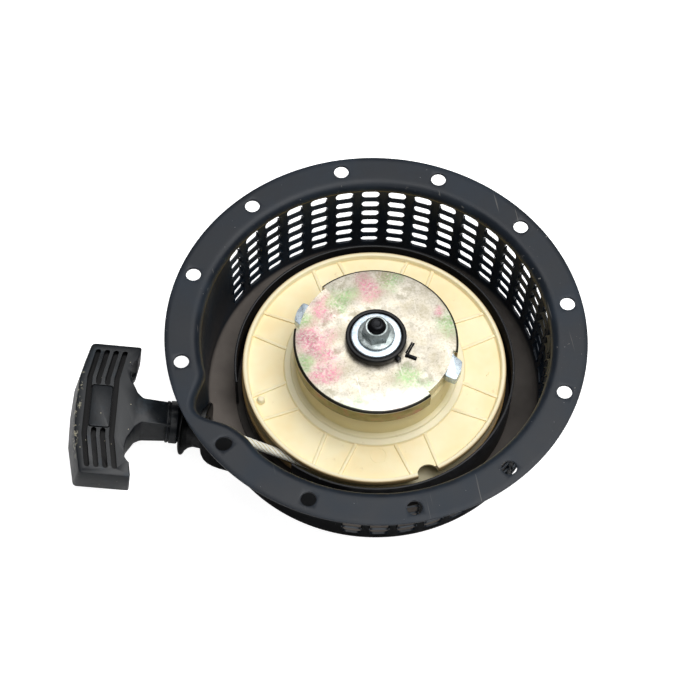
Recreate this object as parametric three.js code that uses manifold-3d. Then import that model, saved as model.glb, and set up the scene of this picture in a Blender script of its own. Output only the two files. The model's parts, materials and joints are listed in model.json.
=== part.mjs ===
// Recoil (pull-cord) starter of a large single-cylinder engine, seen from its engine side.
// Millimetres, +Z towards the engine. The origin is the centre of the closed back's outer face.
import * as THREE from 'three';
import { mergeVertices } from 'three/addons/utils/BufferGeometryUtils.js';
import Module from 'manifold-3d';

const wasm = await Module();
wasm.setup();

const DEG = Math.PI / 180;
const GAP = 0.3; // clearance between touching pieces

// ---------- driving dimensions ----------
const DEPTH = 67.5; // back face to flange face
const SHEET = 1.5; // housing sheet steel
const FLANGE_RADIUS = 124;
const WALL_TOP_RADIUS = 102.6; // inner face of the bowl below the flange bend
const WALL_BOTTOM_RADIUS = 100.8; // inner face of the bowl above the floor corner
const FLANGE_BEND = 6.5;
const FLOOR_BEND = 3;
const BOLT_COUNT = 12;
const BOLT_CIRCLE_RADIUS = 115;
const BOLT_HOLE_RADIUS = 4.5;

const VENT_PITCH = 9 * DEG; // angle between vent columns
const VENT_FIRST = -12; // column numbers, counted in pitches from +X
const VENT_LAST = 15;
const VENT_ROWS = 6;
const VENT_ROW_PITCH = 9.4;
const VENT_TOP = DEPTH - 6;
const VENT_SIZE = { width: 10.5, height: 7.4 };

const POCKET_ANGLE = 195.8 * DEG; // bulge in the wall that carries the rope guide
const POCKET_HALF_ANGLE = 12 * DEG;
const POCKET_HEIGHT = 12.6;

const RING_RADIUS = 84.3; // guard ring round the reel
const RING_TOP = 30.4;
const RING_SHEET = 1.5;
const RING_OPENING = { from: 179 * DEG, to: 224 * DEG };

const ROPE_RADIUS = 2.75;
const ROPE_HEIGHT = 23; // rope centre above the back face
const ROPE_TANGENT_RADIUS = 74.3; // rope centre where it leaves the reel
const ROPE_HEADING = 147.7 * DEG;
const COIL = { inner: 60.3, outer: 77.1 };
const KNOT_ANGLE = 100 * DEG; // where the rope's end enters the reel

const GUIDE_HEADING = 157 * DEG;
const GUIDE_CENTRE = new THREE.Vector3(-108.1, -19.6, ROPE_HEIGHT);
const GUIDE_NECK_RADIUS = 14;
const GUIDE_LIP_RADIUS = 20;

const HANDLE_HEADING = 167.8 * DEG;
const HANDLE_PITCH = 6.5 * DEG;
const HANDLE_SEAT = new THREE.Vector3(-115.8, -17.5, ROPE_HEIGHT);

const SHAFT_RADIUS = 8;
const STUD_RADIUS = 5;
const SHOULDER = 61.3; // the washer is clamped on this step of the shaft
const HUB_TOP = 50.2;
const HUB_RADIUS = 46.3;
const PLATE_TOP = 58.7;
const PLATE_RADIUS = 48.8;
const PLATE_SHEET = 1.5;
const PAWL_WINDOW = { from: 300.5 * DEG, to: 341 * DEG };
const PAWL_PIVOT = { x: 39, y: 6 };
const PAWL_BASE = HUB_TOP + 0.4;
const PAWL_THICKNESS = 6;
const PAWL_PIN_RADIUS = 2.8;
const PAWL_B_TUCK = -5.4 * DEG; // the second pawl lies further in than the first

// ---------- finishes ----------
const finish = (color, roughness, metalness) =>
  new THREE.MeshStandardMaterial({ color, roughness, metalness });
const paintedSteel = finish(0x23272c, 0.45, 0.3);
const nylon = finish(0xece0b8, 0.5, 0);
const zincYellow = finish(0xc9c39a, 0.4, 0.8);
const zincBlue = finish(0xc6ccd2, 0.3, 0.9);
const springSteel = finish(0x50545a, 0.35, 0.9);
const blackPlastic = finish(0x1b1e21, 0.55, 0);
const bronze = finish(0x9a7443, 0.45, 0.8);
const rope = finish(0xe9e2cc, 0.9, 0);

// ---------- solids ----------
/** Closed three.js geometry as a manifold solid with its faces pointing out. */
function solid(geometry) {
  const bare = geometry.clone();
  bare.deleteAttribute('normal');
  bare.deleteAttribute('uv');
  const merged = mergeVertices(bare, 1e-4);
  const corners = merged.index.array;
  const triangles = [];
  for (let i = 0; i < corners.length; i += 3) {
    const [a, b, c] = corners.slice(i, i + 3);
    if (a !== b && b !== c && c !== a) triangles.push(a, b, c);
  }
  const make = (triVerts) => new wasm.Manifold(new wasm.Mesh({
    numProp: 3,
    vertProperties: Float32Array.from(merged.attributes.position.array),
    triVerts: Uint32Array.from(triVerts),
  }));
  const body = make(triangles);
  return body.volume() > 0 ? body : make(triangles.reverse());
}

/** Solid of revolution about Z from [radius, height] points; a ring profile is closed here. */
function turned(points, segments = 36) {
  const profile = points.map(([r, z]) => new THREE.Vector2(r, z));
  if (points[0][0] > 0) profile.push(profile[0].clone());
  return solid(new THREE.LatheGeometry(profile, segments).rotateX(Math.PI / 2));
}

/** Upright extrusion of a flat shape between two heights. */
function raised(shape, bottom, top, curveSegments = 8) {
  const options = { depth: top - bottom, bevelEnabled: false, curveSegments };
  return solid(new THREE.ExtrudeGeometry(shape, options).translate(0, 0, bottom));
}

/** Upright cylinder at x, y between two heights. */
function post(x, y, radius, bottom, top, segments = 16) {
  const geometry = new THREE.CylinderGeometry(radius, radius, top - bottom, segments);
  return solid(geometry.rotateX(Math.PI / 2).translate(x, y, (top + bottom) / 2));
}

/** Box given by its lowest and highest corners. */
function block(low, high) {
  const size = high.map((value, i) => value - low[i]);
  const middle = high.map((value, i) => (value + low[i]) / 2);
  return solid(new THREE.BoxGeometry(...size).translate(...middle));
}

/** Wedge of a ring, seen in plan, between two angles and two radii. */
function sector(from, to, inner, outer) {
  const shape = new THREE.Shape();
  shape.absarc(0, 0, outer, from, to, false);
  shape.absarc(0, 0, inner, to, from, true);
  shape.closePath();
  return shape;
}

/** Points of an arc in the radius-height plane. */
function arc(centre, radius, from, to, steps) {
  return Array.from({ length: steps + 1 }, (_, i) => {
    const angle = (from + ((to - from) * i) / steps) * DEG;
    return [centre[0] + radius * Math.cos(angle), centre[1] + radius * Math.sin(angle)];
  });
}

/** Round bar swept along a curve. */
function swept(curve, radius, steps, sides = 8) {
  const section = new THREE.Shape();
  for (let i = 0; i < sides; i += 1) {
    const angle = (2 * Math.PI * i) / sides;
    const corner = [radius * Math.cos(angle), radius * Math.sin(angle)];
    if (i === 0) section.moveTo(...corner);
    else section.lineTo(...corner);
  }
  return solid(new THREE.ExtrudeGeometry(section, { steps, extrudePath: curve, bevelEnabled: false }));
}

/** The body moved by a matrix. */
function placed(body, matrix) {
  return body.transform(matrix.elements);
}

/** Named mesh of one piece. */
function piece(name, body, material) {
  const { vertProperties, triVerts } = body.getMesh();
  const geometry = new THREE.BufferGeometry();
  geometry.setAttribute('position', new THREE.BufferAttribute(new Float32Array(vertProperties), 3));
  geometry.setIndex(new THREE.BufferAttribute(new Uint32Array(triVerts), 1));
  geometry.computeVertexNormals();
  const mesh = new THREE.Mesh(geometry, material);
  mesh.name = name;
  return mesh;
}

/** Matrix that lays local +Z along a horizontal heading, from a start point. */
function along(heading, start) {
  const axis = new THREE.Vector3(Math.cos(heading), Math.sin(heading), 0);
  const turn = new THREE.Quaternion().setFromUnitVectors(new THREE.Vector3(0, 0, 1), axis);
  return new THREE.Matrix4().compose(start, turn, new THREE.Vector3(1, 1, 1));
}

// ---------- housing ----------
/** Plan outline of the rope-guide pocket: a smooth bump on the given wall radius. */
function pocketShape(wallRadius) {
  const shape = new THREE.Shape();
  const steps = 14;
  const start = POCKET_ANGLE - POCKET_HALF_ANGLE;
  for (let i = 0; i <= steps; i += 1) {
    const offset = (i / steps) * 2 - 1;
    const angle = start + (i / steps) * 2 * POCKET_HALF_ANGLE;
    const radius = wallRadius + POCKET_HEIGHT * Math.cos((offset * Math.PI) / 2) ** 2;
    if (i === 0) shape.moveTo(radius * Math.cos(angle), radius * Math.sin(angle));
    else shape.lineTo(radius * Math.cos(angle), radius * Math.sin(angle));
  }
  const inset = wallRadius - 8;
  shape.absarc(0, 0, inset, POCKET_ANGLE + POCKET_HALF_ANGLE, start, true);
  shape.closePath();
  return shape;
}

/** Pocket body with the same draft as the bowl's wall. */
function pocketBody(wallRadius, bottom, top) {
  const options = { depth: top - bottom, bevelEnabled: false, curveSegments: 3 };
  const geometry = new THREE.ExtrudeGeometry(pocketShape(wallRadius), options).translate(0, 0, bottom);
  const position = geometry.attributes.position;
  const floorScale = WALL_BOTTOM_RADIUS / WALL_TOP_RADIUS;
  for (let i = 0; i < position.count; i += 1) {
    const scale = position.getZ(i) > DEPTH / 2 ? 1 : floorScale;
    position.setXY(i, position.getX(i) * scale, position.getY(i) * scale);
  }
  return solid(geometry);
}

/** Every vent window of the wall as one cutting body. */
function ventCutters() {
  const cutters = [];
  const { width, height } = VENT_SIZE;
  for (let column = VENT_FIRST; column <= VENT_LAST; column += 1) {
    for (let row = 0; row < VENT_ROWS; row += 1) {
      const top = VENT_TOP - row * VENT_ROW_PITCH;
      const window = new THREE.BoxGeometry(10, width, height).translate(WALL_TOP_RADIUS, 0, top - height / 2);
      cutters.push(solid(window.rotateZ(column * VENT_PITCH)));
    }
  }
  return wasm.Manifold.compose(cutters);
}

/** Stamped bowl: floor, vented wall, rope pocket and bolting flange. */
function housingShell() {
  const floorBend = [WALL_BOTTOM_RADIUS - FLOOR_BEND, SHEET + FLOOR_BEND];
  const flangeBend = [WALL_TOP_RADIUS + FLANGE_BEND, DEPTH - FLANGE_BEND];
  const halfPitch = VENT_PITCH / 2;
  let body = turned([
    [0, 0],
    ...arc(floorBend, FLOOR_BEND + SHEET, -90, 0, 2),
    ...arc(flangeBend, FLANGE_BEND - SHEET, 180, 90, 2),
    [FLANGE_RADIUS, DEPTH - SHEET],
    [FLANGE_RADIUS, DEPTH],
    ...arc(flangeBend, FLANGE_BEND, 90, 180, 3),
    ...arc(floorBend, FLOOR_BEND, 0, -90, 2),
    [0, SHEET],
  ], 40);
  body = placed(body, new THREE.Matrix4().makeRotationZ(halfPitch));
  body = body.add(pocketBody(WALL_TOP_RADIUS + SHEET - 0.2, 0, DEPTH));
  body = body.subtract(pocketBody(WALL_TOP_RADIUS - 0.2, SHEET, DEPTH + 1));
  body = body.subtract(ventCutters());
  for (let i = 0; i < BOLT_COUNT; i += 1) {
    const angle = (2 * Math.PI * i) / BOLT_COUNT;
    const [x, y] = [Math.cos(angle), Math.sin(angle)].map((value) => value * BOLT_CIRCLE_RADIUS);
    body = body.subtract(post(x, y, BOLT_HOLE_RADIUS, DEPTH - 4, DEPTH + 2, 12));
  }
  const guideHole = post(0, 0, GUIDE_NECK_RADIUS + GAP, -9, 12, 24);
  return body.subtract(placed(guideHole, along(GUIDE_HEADING, GUIDE_CENTRE)));
}

/** Upright ring that keeps the rope on the reel, with its foot and the opening for the rope. */
function reelGuardRing() {
  const inner = RING_RADIUS - RING_SHEET;
  const foot = SHEET + GAP;
  const ring = turned([
    [79.6, foot], [RING_RADIUS, foot], [RING_RADIUS, RING_TOP], [inner, RING_TOP],
    [inner, foot + 1.2], [79.6, foot + 1.2],
  ], 48);
  const opening = sector(RING_OPENING.from, RING_OPENING.to, 76, 90);
  return ring.subtract(raised(opening, foot + 1.2, RING_TOP + 2));
}

/** Trumpet-mouthed grommet that leads the rope out through the pocket. */
function ropeGuide() {
  const throat = 4;
  const profile = [
    [throat + 2, -4], [GUIDE_NECK_RADIUS, -4], [GUIDE_NECK_RADIUS, 2.5], [GUIDE_NECK_RADIUS + 1, 5],
    [GUIDE_LIP_RADIUS - 2, 7.6], [GUIDE_LIP_RADIUS, 8.6], [GUIDE_LIP_RADIUS, 9.6],
    [GUIDE_LIP_RADIUS - 1.5, 9.6], [15.5, 8], [12, 4], [throat, 0.6], [throat, -2],
  ];
  return placed(turned(profile, 24), along(GUIDE_HEADING, GUIDE_CENTRE));
}

// ---------- shaft and its stack ----------
/** Centre post with its welding foot and the threaded stud on top. */
function centerShaft() {
  return turned([
    [0, SHEET + GAP], [12, SHEET + GAP], [12, 4.5], [SHAFT_RADIUS, 4.5], [SHAFT_RADIUS, SHOULDER],
    [STUD_RADIUS, SHOULDER], [STUD_RADIUS, 77], [STUD_RADIUS - 1, 78], [0, 78],
  ], 20);
}

/** Plain sleeve between the reel's bore and the shaft. */
function reelBush() {
  const [inner, outer] = [SHAFT_RADIUS + GAP, SHAFT_RADIUS + 2];
  return turned([[inner, 4.8], [outer, 4.8], [outer, HUB_TOP - 0.2], [inner, HUB_TOP - 0.2]], 24);
}

/** Flat ring washer. */
function washer(inner, outer, bottom, top, segments = 24) {
  return turned([[inner, bottom], [outer, bottom], [outer, top], [inner, top]], segments);
}

/** Hexagon nut with a bearing flange. */
function flangeNut() {
  const bottom = 64.4;
  const top = 74;
  const acrossFlats = 15;
  const hexRadius = acrossFlats / Math.sqrt(3);
  const flange = turned([[0, bottom], [10.9, bottom], [10.9, bottom + 1.2], [8, bottom + 3], [0, bottom + 3]], 30);
  const hexagon = post(0, 0, hexRadius, bottom + 1, top, 6);
  const chamfer = turned([[0, bottom], [9.4, bottom], [9.4, top - 1], [7.4, top], [0, top]], 30);
  return flange.add(hexagon.intersect(chamfer)).subtract(post(0, 0, STUD_RADIUS + GAP, 60, 80, 24));
}

/** Black dished ring that surrounds the washer, with its locating tab. */
function retainerCup() {
  const bore = SHAFT_RADIUS + 0.4;
  const bottom = PLATE_TOP + GAP;
  const cup = turned([
    [bore, bottom], [17.6, bottom], [18, bottom + 0.6], [18, 64], [15.5, 64], [15.5, bottom + 1.6],
    [bore, bottom + 1.6],
  ], 36);
  const tab = block([17, -1.4, bottom], [20.2, 1.4, bottom + 2.2]);
  return cup.add(placed(tab, new THREE.Matrix4().makeRotationZ(303 * DEG)));
}

/** Coil spring that presses the guide plate against the retainer. */
function frictionSpring() {
  class Helix extends THREE.Curve {
    getPoint(t, target = new THREE.Vector3()) {
      const angle = t * 1.35 * 2 * Math.PI;
      return target.set(12.2 * Math.cos(angle), 12.2 * Math.sin(angle), 52.95 + 2.95 * t);
    }
  }
  return swept(new Helix(), 0.9, 22, 6);
}

// ---------- ratchet ----------
/** Drawn plate with a skirt; its two windows let the pawls out. */
function ratchetGuidePlate() {
  const underside = PLATE_TOP - PLATE_SHEET;
  const skirtBottom = 46.4;
  const bore = SHAFT_RADIUS + 0.5;
  let plate = turned([
    [bore, underside], [PLATE_RADIUS - 1.9, underside], [PLATE_RADIUS - 1.9, skirtBottom],
    [PLATE_RADIUS - 0.4, skirtBottom], [PLATE_RADIUS, PLATE_TOP - 0.8], [PLATE_RADIUS - 0.8, PLATE_TOP],
    [bore, PLATE_TOP],
  ], 48);
  for (const halfTurn of [0, Math.PI]) {
    const window = sector(PAWL_WINDOW.from + halfTurn, PAWL_WINDOW.to + halfTurn, 45.9, 54);
    plate = plate.subtract(raised(window, skirtBottom - 1, PLATE_TOP + 1));
  }
  const hookSlot = block([-3.3, -0.9, underside - 1], [3.3, 0.9, PLATE_TOP + 1]);
  const slotPlace = new THREE.Matrix4().makeTranslation(18, -15, 0).multiply(
    new THREE.Matrix4().makeRotationZ(-31 * DEG),
  );
  return plate.subtract(placed(hookSlot, slotPlace));
}

/** Plan outline of a pawl: round boss at the pivot, arm, and a square-nosed tooth. */
function pawlShape() {
  const shape = new THREE.Shape();
  const boss = 5.5;
  shape.moveTo(35.8, -29.8);
  shape.lineTo(41.3, -33.5);
  shape.quadraticCurveTo(46, -28, 47.5, -22);
  shape.lineTo(43.6, -16.9);
  shape.absarc(PAWL_PIVOT.x, PAWL_PIVOT.y, boss, -10 * DEG, 190 * DEG, false);
  shape.closePath();
  return shape;
}

/** Pawl in its place, turned about its pivot by the tuck angle and about the axis by a half turn. */
function pawl(tuck, halfTurn) {
  const top = PAWL_BASE + PAWL_THICKNESS;
  const body = raised(pawlShape(), PAWL_BASE, top, 6);
  const hole = post(PAWL_PIVOT.x, PAWL_PIVOT.y, PAWL_PIN_RADIUS + GAP, PAWL_BASE - 1, top + 1);
  const place = new THREE.Matrix4().makeRotationZ(halfTurn)
    .multiply(new THREE.Matrix4().makeTranslation(PAWL_PIVOT.x, PAWL_PIVOT.y, 0))
    .multiply(new THREE.Matrix4().makeRotationZ(tuck))
    .multiply(new THREE.Matrix4().makeTranslation(-PAWL_PIVOT.x, -PAWL_PIVOT.y, 0));
  return placed(body.subtract(hole), place);
}

/** Pivot pin pressed into the reel's hub; side is 1 or -1 across the axis. */
function pawlPin(side) {
  return post(side * PAWL_PIVOT.x, side * PAWL_PIVOT.y, PAWL_PIN_RADIUS, 46.6, 56.9);
}

// ---------- reel, rope and spring ----------
/** Moulded reel: rope groove, recessed web and hollow hub. */
function reel() {
  const bore = SHAFT_RADIUS + 2 + GAP;
  const cavityTop = 47;
  const caseTop = 17.2;
  let body = turned([
    [bore, 4.8], [13.8, 4.8], [13.8, cavityTop], [43.3, cavityTop], [43.3, caseTop], [HUB_RADIUS, caseTop],
    [HUB_RADIUS, 26.4], [57, 26.4], [57, 13.5], [80, 13.5], [80, 17.6],
    [59.8, 18.8], [59.8, 26.6], [79.2, 27.3], [79.2, 29.9], [76.4, 29.9], [75.4, 28.4],
    [54, 28.4], [48, 32], [HUB_RADIUS, 45.8], [44.5, 46.2], [44.5, HUB_TOP], [bore, HUB_TOP],
  ], 40);
  for (const side of [1, -1]) {
    body = body.subtract(
      post(side * PAWL_PIVOT.x, side * PAWL_PIVOT.y, PAWL_PIN_RADIUS + GAP, cavityTop - 1, HUB_TOP + 1),
    );
  }
  const notch = 283 * DEG;
  body = body.subtract(post(80 * Math.cos(notch), 80 * Math.sin(notch), 6.2, 26, 31, 20));
  const ropeHole = placed(post(0, 0, 3.2, 50, 62, 12), along(KNOT_ANGLE, new THREE.Vector3(0, 0, ROPE_HEIGHT)));
  return body.subtract(ropeHole);
}

/** Wound rope as one ring of its outer shape. */
function ropeCoil() {
  const half = ROPE_RADIUS;
  const chamfer = 1.2;
  return turned([
    [COIL.inner, ROPE_HEIGHT - half], [COIL.outer - chamfer, ROPE_HEIGHT - half],
    [COIL.outer, ROPE_HEIGHT - half + chamfer], [COIL.outer, ROPE_HEIGHT + half - chamfer],
    [COIL.outer - chamfer, ROPE_HEIGHT + half], [COIL.inner, ROPE_HEIGHT + half],
  ], 36);
}

/** Stopper knot inside the reel. */
function reelKnot() {
  const radius = 52;
  const knot = new THREE.SphereGeometry(4, 10, 8);
  return solid(knot.translate(radius * Math.cos(KNOT_ANGLE), radius * Math.sin(KNOT_ANGLE), ROPE_HEIGHT - 1));
}

/** Point on the rope's straight run, a distance after it leaves the reel. */
function ropePoint(distance) {
  const foot = ROPE_HEADING + Math.PI / 2;
  return new THREE.Vector3(
    ROPE_TANGENT_RADIUS * Math.cos(foot) + distance * Math.cos(ROPE_HEADING),
    ROPE_TANGENT_RADIUS * Math.sin(foot) + distance * Math.sin(ROPE_HEADING),
    ROPE_HEIGHT,
  );
}

/** Rope from the reel through the guide. */
function ropeRun() {
  const exit = HANDLE_SEAT.clone().add(handleAxis().multiplyScalar(0.5));
  const route = [ropePoint(31), ropePoint(48), ropePoint(66), GUIDE_CENTRE.clone(), exit];
  return swept(new THREE.CatmullRomCurve3(route), ROPE_RADIUS, 12, 10);
}

/** Spring cup on the floor of the housing. */
function springCase() {
  const floor = SHEET + GAP;
  return turned([[12.6, floor], [55.2, floor], [55.2, 16.6], [54, 16.6], [54, 3], [12.6, 3]], 36);
}

/** Flat spiral recoil spring. */
function recoilSpring() {
  const [inner, outer, thickness, turns] = [15, 48.5, 0.9, 5];
  const steps = turns * 16;
  const edge = (offset) => Array.from({ length: steps + 1 }, (_, i) => {
    const angle = (2 * Math.PI * turns * i) / steps;
    const radius = inner + ((outer - inner) * i) / steps + offset;
    return new THREE.Vector2(radius * Math.cos(angle), radius * Math.sin(angle));
  });
  return raised(new THREE.Shape([...edge(thickness), ...edge(0).reverse()]), 3.6, 15.6);
}

/** Post in the spring cup that holds the spring's outer end. */
function springAnchor() {
  return post(51.6, 0, 1.8, 3.3, 15.6);
}

// ---------- handle, in its own frame: +X is the pull, +Y along the bar ----------
/** Unit vector of the pull. */
function handleAxis() {
  return new THREE.Vector3(
    Math.cos(HANDLE_PITCH) * Math.cos(HANDLE_HEADING),
    Math.cos(HANDLE_PITCH) * Math.sin(HANDLE_HEADING),
    Math.sin(HANDLE_PITCH),
  );
}

/** Matrix that lays local +Z along the handle's own +X. */
function alongPull() {
  return new THREE.Matrix4().makeRotationY(Math.PI / 2);
}

/** Plan outline of the T: collar end, stem, finger recesses and bowed bar. */
function handlePlan() {
  const half = [
    [10, 8.2], [27, 8], [31, 10], [34.5, 16], [37, 20], [36.5, 25], [33.8, 29.5], [33.8, 43.2],
    [61, 43.2], [65.3, 19],
  ];
  const shape = new THREE.Shape();
  shape.moveTo(...half[0]);
  half.slice(1).forEach(([x, y]) => shape.lineTo(x, y));
  shape.lineTo(66.7, 0);
  [...half].reverse().forEach(([x, y]) => shape.lineTo(x, -y));
  shape.closePath();
  return shape;
}

/** Shape with straight sides from [u, v] corners. */
const polygon = (corners) => new THREE.Shape(corners.map(([u, v]) => new THREE.Vector2(u, v)));

/** Moulded T handle with its collar, rope bore and knot chamber. */
function handleGrip() {
  const plan = raised(handlePlan(), -14, 14);
  const front = raised(polygon([
    [-43.2, -9], [-20, -12], [20, -12], [43.2, -9], [43.2, 10], [20, 12.5], [-20, 12.5], [-43.2, 10],
  ]), 0, 70);
  const standUp = new THREE.Matrix4().makeBasis(
    new THREE.Vector3(0, 1, 0), new THREE.Vector3(0, 0, 1), new THREE.Vector3(1, 0, 0),
  );
  const side = raised(polygon([[8, -9.6], [28, -12.6], [70, -12.6], [70, 13], [28, 13], [8, 9.6]]), -50, 50);
  const tip = new THREE.Matrix4().makeRotationX(Math.PI / 2);
  const collar = placed(turned([[0, 3.4], [8.5, 3.4], [12.6, 6.4], [12.6, 12], [0, 12]], 24), alongPull());
  let body = plan.intersect(placed(front, standUp)).intersect(placed(side, tip)).add(collar);
  body = body.subtract(placed(post(0, 0, ROPE_RADIUS + 0.6, 0, 50, 12), alongPull()));
  body = body.subtract(block([45.9, -12, -7], [57.6, 12, 14]));
  return body.subtract(block([45.2, -14, 11.2], [58.3, 14, 14]));
}

/** Snap-in cover of the knot chamber. */
function handleCap() {
  return block([45.5, -13.7, 11.5], [58, 13.7, 12.9]);
}

/** Washer under the handle's knot. */
function knotWasher() {
  return placed(washer(ROPE_RADIUS + 0.4, 6.3, 46.2, 47.4, 20), alongPull());
}

/** Knot that carries the handle on the rope. */
function handleKnot() {
  return solid(new THREE.SphereGeometry(4.2, 10, 8).translate(52, 0, 0));
}

/** Rope inside the handle. */
function ropeTail() {
  return placed(post(0, 0, ROPE_RADIUS, 0.9, 47.4, 10), alongPull());
}

// ---------- assembly ----------
const starter = new THREE.Group();
starter.add(
  piece('housing_shell', housingShell(), paintedSteel),
  piece('reel_guard_ring', reelGuardRing(), paintedSteel),
  piece('rope_guide', ropeGuide(), blackPlastic),
  piece('center_shaft', centerShaft(), springSteel),
  piece('spring_case', springCase(), zincBlue),
  piece('spring_anchor', springAnchor(), springSteel),
  piece('recoil_spring', recoilSpring(), springSteel),
  piece('reel', reel(), nylon),
  piece('reel_bush', reelBush(), bronze),
  piece('rope_coil', ropeCoil(), rope),
  piece('reel_knot', reelKnot(), rope),
  piece('rope_run', ropeRun(), rope),
  piece('thrust_washer', washer(SHAFT_RADIUS + 0.4, 15, 50.5, 51.7), zincBlue),
  piece('friction_spring', frictionSpring(), springSteel),
  piece('pawl_pin_a', pawlPin(1), springSteel),
  piece('pawl_pin_b', pawlPin(-1), springSteel),
  piece('pawl_a', pawl(0, 0), zincBlue),
  piece('pawl_b', pawl(PAWL_B_TUCK, Math.PI), zincBlue),
  piece('ratchet_guide_plate', ratchetGuidePlate(), zincYellow),
  piece('retainer_cup', retainerCup(), blackPlastic),
  piece('large_washer', washer(STUD_RADIUS + GAP, 14.9, 61.6, 64.1, 30), zincBlue),
  piece('flange_nut', flangeNut(), zincBlue),
);

const handle = new THREE.Group();
handle.position.copy(HANDLE_SEAT);
handle.rotation.set(0, -HANDLE_PITCH, HANDLE_HEADING, 'ZYX');
handle.add(
  piece('handle_grip', handleGrip(), blackPlastic),
  piece('handle_cap', handleCap(), blackPlastic),
  piece('knot_washer', knotWasher(), zincBlue),
  piece('handle_knot', handleKnot(), rope),
  piece('rope_tail', ropeTail(), rope),
);
starter.add(handle);

export default starter;
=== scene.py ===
"""Looks of a recoil starter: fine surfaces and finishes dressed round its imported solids.

Each sub-assembly is a class that holds its sizes in millimetres, builds its meshes in the part's own
frame (+Z up the shaft, origin on the closed back) and hands them over in metres.
"""

import functools
import json
import logging
import math
from collections.abc import Callable, Iterable, Sequence
from dataclasses import dataclass
from enum import Enum

import bmesh
import bpy
from mathutils import Matrix, Vector

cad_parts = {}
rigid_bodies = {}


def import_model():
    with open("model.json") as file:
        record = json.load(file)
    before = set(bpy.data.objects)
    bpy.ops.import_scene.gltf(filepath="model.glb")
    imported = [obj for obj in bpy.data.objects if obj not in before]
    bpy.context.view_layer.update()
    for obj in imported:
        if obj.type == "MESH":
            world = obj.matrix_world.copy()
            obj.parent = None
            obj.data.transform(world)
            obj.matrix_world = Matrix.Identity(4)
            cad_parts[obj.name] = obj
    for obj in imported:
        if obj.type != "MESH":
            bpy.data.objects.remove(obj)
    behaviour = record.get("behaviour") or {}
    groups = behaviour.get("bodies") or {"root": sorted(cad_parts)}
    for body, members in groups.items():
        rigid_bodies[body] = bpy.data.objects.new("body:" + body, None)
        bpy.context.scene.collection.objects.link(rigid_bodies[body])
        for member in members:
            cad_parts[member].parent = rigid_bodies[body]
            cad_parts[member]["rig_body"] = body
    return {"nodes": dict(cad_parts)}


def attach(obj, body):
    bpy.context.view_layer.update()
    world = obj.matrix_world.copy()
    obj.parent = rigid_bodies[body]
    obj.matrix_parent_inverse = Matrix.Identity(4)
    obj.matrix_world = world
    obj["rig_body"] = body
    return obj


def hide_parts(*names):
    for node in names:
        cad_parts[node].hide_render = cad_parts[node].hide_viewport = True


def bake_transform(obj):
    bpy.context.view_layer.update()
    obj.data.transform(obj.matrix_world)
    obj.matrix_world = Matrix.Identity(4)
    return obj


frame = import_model()

LOG = logging.getLogger("recoil_starter")
MM = 0.001
FULL_TURN = 2 * math.pi
EASED = "SMOOTHSTEP"  # how every fade between two values runs

Mesh = bmesh.types.BMesh
Node = bpy.types.Node
Socket = bpy.types.NodeSocket
Feeds = dict | Sequence
Adder = Callable[..., Node]


class Body(str, Enum):
    """Bodies of the mechanism that a piece can ride on."""

    HOUSING = "housing"
    REEL = "reel"
    GUIDE = "guide"
    PAWL_A = "pawl_a"
    PAWL_B = "pawl_b"
    HANDLE = "handle"


class Slot(str, Enum):
    """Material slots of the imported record."""

    BLACK_ENAMEL = "black_enamel"
    IVORY_NYLON = "ivory_nylon"
    YELLOW_ZINC = "yellow_zinc"
    BRIGHT_ZINC = "bright_zinc"
    OILED_STEEL = "oiled_steel"
    BRONZE = "bronze"
    BLACK_PLASTIC = "black_plastic"
    ROPE = "rope"


# ---------- shapes ----------
def polar(radius: float, degrees: float, height: float = 0.0) -> Vector:
    """Point at a radius, an angle from +X in degrees and a height."""
    angle = math.radians(degrees)
    return Vector((radius * math.cos(angle), radius * math.sin(angle), height))


def hump(offset: float, half_width: float) -> float:
    """Smooth rise from 0 to 1 and back over twice the half width, centred on 0."""
    if abs(offset) >= half_width:
        return 0.0
    return math.cos(math.pi / 2 * offset / half_width) ** 2


def rounded(corners: Sequence[tuple[float, ...]], closed: bool, steps: int = 4) -> list[Vector]:
    """Outline whose corners are turned into arcs.

    Args:
        corners: Corners as (x, y) or (x, y, radius).
        closed: Whether the last corner joins the first.
        steps: Chords in each arc.

    Returns:
        The outline's points in order.
    """
    points = []
    for i, corner in enumerate(corners):
        here = Vector(corner[:2])
        at_end = not closed and i in (0, len(corners) - 1)
        if len(corner) < 3 or at_end:
            points.append(here)
            continue
        before = (Vector(corners[i - 1][:2]) - here).normalized()
        after = (Vector(corners[(i + 1) % len(corners)][:2]) - here).normalized()
        half = before.angle(after) / 2
        centre = here + (before + after).normalized() * corner[2] / math.sin(half)
        start = here + before * corner[2] / math.tan(half) - centre
        turn = start.angle_signed(here + after * corner[2] / math.tan(half) - centre)
        for step in range(steps + 1):
            points.append(centre + start @ Matrix.Rotation(turn * step / steps, 2))
    return points


def tile(
    centre: tuple[float, float], size: tuple[float, float], radius: float, steps: int = 4,
) -> list[Vector]:
    """Rounded rectangle about a centre."""
    corners = ((-0.5, -0.5), (0.5, -0.5), (0.5, 0.5), (-0.5, 0.5))
    return rounded(
        [(centre[0] + size[0] * i, centre[1] + size[1] * j, radius) for i, j in corners], True, steps,
    )


def settled(bm: Mesh, distance: float = 1e-3) -> Mesh:
    """The mesh with its doubles merged and its faces turned outwards."""
    bmesh.ops.remove_doubles(bm, verts=bm.verts, dist=distance)
    bmesh.ops.recalc_face_normals(bm, faces=bm.faces)
    return bm


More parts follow.
